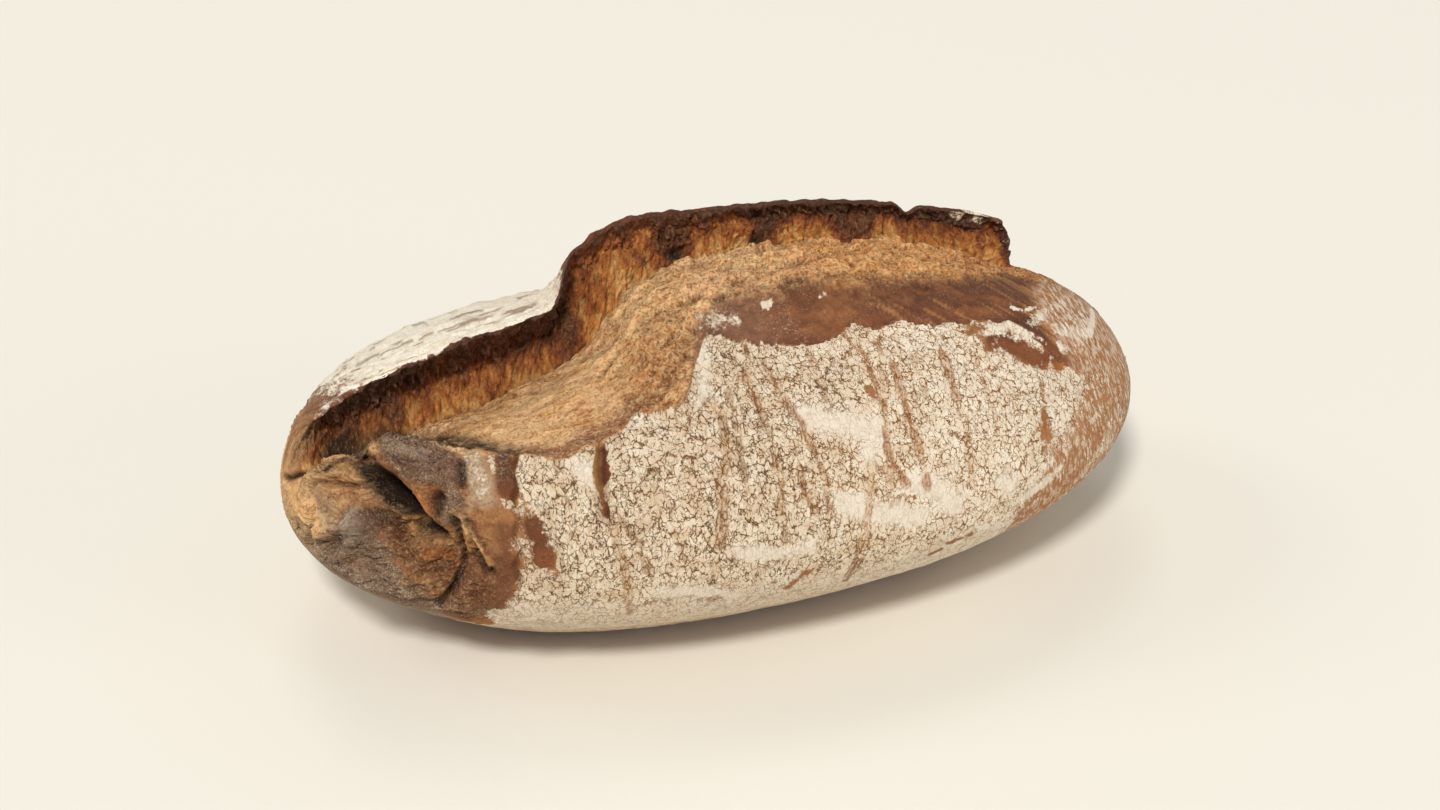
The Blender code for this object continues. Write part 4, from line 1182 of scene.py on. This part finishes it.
def crust_material():
    n = Nodes("crust_visual")
    rest, unroll, flankmap, tone = (n.field(name, "Vector") for name in ("rest", "unroll", "flankmap", "tone"))
    flour, smooth, wash, line, dusty, burn, crumb, face, band, dash, under, shellside = map(n.field, FIELDS)

    def speckle(offset, scale, detail, rough=0.55):
        return n.noise(n.moved(rest, offset), scale, detail, rough)

    patchy = speckle((17, 4, 9), 0.10, 3)
    medium = speckle((40, 0, 7), 0.24, 4)
    fine = n.noise(rest, 1.0, 3, 0.65)
    grain = speckle((9, 30, 2), 2.4, 2, 0.7)
    along = n.make("ShaderNodeSeparateXYZ", {0: rest})
    rightward = n.step(along, -10.0, 80.0)

    # Crackle: two nets of thin bent lines that thin out and break off
    bent = n.scaled(rest, (1.20, 0.90, 0.84))
    for scale, amount in ((0.30, 2.4), (1.1, 1.0), (2.7, 0.5)):
        bent = n.warped(bent, scale, amount)
    net_large = n.cells(bent, 0.35)
    net_small = n.cells(n.moved(bent, (3.3, 7.1, 1.7)), 0.64)
    presence = speckle((5, 5, 5), 0.34, 4, 0.75)
    presence_small = speckle((25, 5, 15), 0.40, 4, 0.75)
    reach_large = n.step(presence, 0.41, 0.68, 0.002, n.line_through(rightward, -0.016, 0.096))
    reach_small = n.step(presence_small, 0.43, 0.67, 0.002, n.line_through(rightward, -0.018, 0.108))
    cracks = n.most(n.line(net_large, reach_large), n.mul(n.line(net_small, reach_small), 0.85))
    halo = n.most(n.line(net_large, n.mul(reach_large, 3.0)),
                  n.mul(n.line(net_small, n.mul(reach_small, 2.6)), 0.8))
    whole = n.left(smooth)
    for place, loss in ((under, -0.8), (shellside, -0.85), (band, -0.9)):
        whole = n.mul(whole, n.line_through(place, loss, 1.0))
    cracks, halo = n.mul(cracks, whole), n.mul(halo, whole)

    # Flour, with its cracks, its drawn veins and its washed streaks
    hue = n.step(speckle((60, 0, 0), 0.035, 2), 0.40, 0.62)
    hue = n.plus(n.mul(hue, 0.35), n.mul(rightward, 0.65))
    skin = n.mix(n.step(medium, 0.3, 0.7), (232, 215, 188), (243, 230, 208))
    skin = n.shade(n.mul(n.math("SUBTRACT", 1.0, rightward), 0.9), skin, (244, 240, 235))
    skin = n.mix(n.mul(n.step(grain, 0.52, 0.80), 0.30), skin, (216, 194, 164))
    skin = n.mix(n.mul(smooth, 0.6), skin, (232, 219, 202))
    skin = n.mix(n.mul(n.step(patchy, 0.50, 0.72), 0.5), skin, (220, 200, 172))
    stained = n.step(speckle((8, 50, 3), 0.16, 4, 0.6), 0.40, 0.64)
    skin = n.mix(n.mul(n.mul(stained, whole), n.line_through(rightward, -0.45, 0.65)), skin, (206, 174, 138))
    shell_skin = n.mix(n.step(medium, 0.3, 0.7), (246, 231, 206), (255, 246, 226))
    skin = n.mix(n.mul(shellside, 0.85), skin, shell_skin)
    crack_colour = n.mix(hue, (76, 42, 20), (156, 84, 28))
    flank = n.mix(n.mul(halo, 0.78), skin, n.mix(hue, (192, 152, 108), (224, 168, 98)))
    flank = n.mix(n.mul(cracks, 0.95), flank, crack_colour)
    threads = n.noise(n.warped(n.scaled(flankmap, (0.95, 0.16, 1.0)), 1.4, 0.5), 1.0, 3, 0.6)
    veins = n.line(n.off(threads, 0.5), 0.030)
    veins = n.most(veins, n.mul(n.line(n.off(threads, 0.60), 0.020), 0.8))
    drawn = n.mul(n.mul(whole, n.step(speckle((70, 20, 0), 0.13, 3), 0.42, 0.62)), 0.50)
    flank = n.mix(n.mul(drawn, veins), flank, n.mix(hue, (118, 72, 36), (172, 104, 44)))
    flank = n.mix(n.mul(wash, 0.36), flank, (222, 170, 108))
    flank = n.mix(n.mul(n.mul(wash, veins), 0.9), flank, n.mix(hue, (132, 78, 36), (172, 104, 44)))
    flank = n.mix(n.mul(dusty, 0.85), flank, (206, 182, 156))

    # Bare crust and crumb
    tufts = n.noise(n.warped(n.moved(n.scaled(rest, (0.6, 1.0, 1.0)), (2, 70, 5)), 0.5, 1.4), 0.46, 4, 0.72)
    specks = n.step(speckle((11, 3, 0), 1.1, 3, 0.7), 0.34, 0.47, 1.0, 0.0)
    fibres = n.noise(n.scaled(n.warped(unroll, 0.3, 2.0), (0.5, 1.1, 1.0)), 1.0, 4, 0.6)
    strands = n.noise(n.warped(n.scaled(unroll, (0.85, 0.42, 1.0)), 0.5, 1.2), 1.0, 4, 0.7)
    base = n.shade(n.mul(n.step(medium, 0.34, 0.66), 0.30), tone, (206, 190, 178))
    base = n.mix(n.mul(n.step(tufts, 0.48, 0.68), n.mul(crumb, 0.55)), base, (244, 210, 152))
    low_tufts = n.step(tufts, 0.34, 0.50, 1.0, 0.0)
    base = n.shade(n.mul(low_tufts, n.line_through(crumb, 0.50, 0.15)), base, (196, 146, 100))
    base = n.mix(n.mul(n.step(fine, 0.52, 0.68), n.mul(crumb, 0.50)), base, (246, 216, 164))
    base = n.mix(n.mul(n.step(fine, 0.54, 0.72), 0.12), base, (222, 172, 112))
    base = n.shade(n.mul(specks, n.line_through(crumb, 0.10, 0.45)), base, (176, 116, 74))
    base = n.shade(n.mul(n.step(fibres, 0.34, 0.50, 1.0, 0.0), n.mul(crumb, 0.45)), base, (186, 136, 92))
    base = n.mix(n.mul(n.step(strands, 0.54, 0.70), n.mul(face, 0.38)), base, (222, 158, 84))
    base = n.shade(n.mul(n.step(strands, 0.32, 0.47, 1.0, 0.0), n.mul(face, 0.70)), base, (150, 98, 68))
    dots = n.mul(n.step(speckle((0, 21, 0), 1.3, 3, 0.7), 0.54, 0.68), n.step(patchy, 0.40, 0.62))
    dots = n.mul(dots, n.step(along, -10.0, 60.0, 1.0, 0.45))
    base = n.mix(n.mul(dots, n.line_through(band, 0.60, 0.08)), base, (214, 180, 146))
    burnt = n.mix(n.step(fine, 0.35, 0.7), (54, 32, 24), (104, 62, 40))
    base = n.mix(n.mul(burn, n.step(medium, 0.25, 0.65, 0.45, 0.90)), base, burnt)

    # Dusty grey skin with dark pits, white dashes at the right end
    pits = n.step(speckle((3, 3, 30), 1.5, 3, 0.65), 0.43, 0.57)
    dashes = n.noise(n.scaled(n.warped(unroll, 0.2, 2.0), (0.80, 0.24, 1.0)), 1.0, 3, 0.55)
    dashes = n.step(dashes, 0.45, 0.58)
    spread = n.plus(*(n.mul(n.math("SUBTRACT", layer, 0.5), 0.9) for layer in (fine, medium)))
    dust = n.step(n.plus(flour, spread), 0.34, 0.66)
    dust = n.mixed(dusty, dust, n.mul(pits, n.step(patchy, 0.35, 0.65, 0.30, 0.75)))
    dust = n.mixed(n.mul(dash, 0.95), dust, n.mul(dashes, n.line_through(dust, 0.35, 0.60)))
    base = n.mix(dust, base, flank)
    base = n.mix(n.mul(line, 0.86), base, n.mix(0.3, crack_colour, (150, 92, 44)))
    # Darker and browner towards the bottom
    base = n.shade(n.mul(under, 0.5), base, (186, 158, 134))

    # Relief of the skin
    crumbly = n.mul(n.mul(n.math("SUBTRACT", fine, 0.5), 0.9), n.line_through(crumb, 1.3, 0.25))
    relief = n.mul(n.mul(cracks, -0.8), dust)
    for height in (crumbly, n.mul(n.mul(tufts, 1.1), crumb), n.mul(grain, 0.16),
                   n.mul(n.mul(strands, 2.2), face), n.mul(n.mul(fibres, 0.7), crumb),
                   n.mul(specks, n.mul(crumb, -0.7)), n.mul(n.mul(pits, dusty), 1.3)):
        relief = n.plus(relief, height)
    bump = n.make("ShaderNodeBump", {"Strength": 0.9, "Distance": 0.0006, "Height": relief})

    gloss = n.mul(n.most(band, burn), n.left(dust))
    return n.surface({"Base Color": base, "Roughness": n.line_through(gloss, -0.30, 0.88),
                      "Specular IOR Level": 0.30, "Normal": bump})


def floor_material():
    colour = linear(*FLOOR_COLOUR)
    return Nodes("pale_floor").surface({"Base Color": colour, "Roughness": 0.9, "Specular IOR Level": 0.1})


def make_camera():
    back = Vector((math.sin(AZIMUTH) * math.cos(ELEVATION), -math.cos(AZIMUTH) * math.cos(ELEVATION),
                   math.sin(ELEVATION)))
    right = Vector((math.cos(AZIMUTH), math.sin(AZIMUTH), 0))
    up = back.cross(right)
    data = bpy.data.cameras.new("camera")
    data.sensor_width = 36.0
    data.lens = FOCAL_PX / IMAGE[0] * data.sensor_width
    data.shift_x = (IMAGE[0] / 2 - AIM_PX[0]) / IMAGE[0]
    data.shift_y = (AIM_PX[1] - IMAGE[1] / 2) / IMAGE[0]
    data.clip_end = 50
    camera = bpy.data.objects.new("camera", data)
    axes = (right, up, back, TARGET + back * DISTANCE)
    camera.matrix_world = Matrix([[axis[row] for axis in axes] for row in range(3)] + [[0, 0, 0, 1]])
    bpy.context.scene.collection.objects.link(camera)
    bpy.context.scene.camera = camera


def area_light(name, towards, distance, size, strength):
    """Round lamp aimed at the loaf, as a share of full daylight on it."""
    data = bpy.data.lights.new(name, "AREA")
    data.shape = "DISK"
    data.size = size
    data.energy = strength * (math.pi * distance) ** 2
    data.color = LAMP_COLOUR
    lamp = bpy.data.objects.new(name, data)
    lamp.location = Vector(towards).normalized() * distance
    lamp.rotation_euler = (Vector(LAMP_AIM) - lamp.location).to_track_quat("-Z", "Y").to_euler()
    bpy.context.scene.collection.objects.link(lamp)


def make_surroundings():
    mesh = bpy.data.meshes.new("floor")
    half = FLOOR_HALF
    corners = [(-half, -half, 0), (half, -half, 0), (half, half, 0), (-half, half, 0)]
    mesh.from_pydata(corners, [], [(0, 1, 2, 3)])
    floor = bpy.data.objects.new("floor", mesh)
    floor.data.materials.append(floor_material())
    bpy.context.scene.collection.objects.link(floor)
    world = bpy.data.worlds.new("studio")
    world.use_nodes = True
    background = world.node_tree.nodes["Background"]
    background.inputs[0].default_value = SKY_COLOUR
    background.inputs[1].default_value = AMBIENT
    bpy.context.scene.world = world
    for lamp in LAMPS:
        area_light(*lamp)


make_loaf()
make_surroundings()
make_camera()
bpy.context.scene.view_settings.view_transform = "Standard"
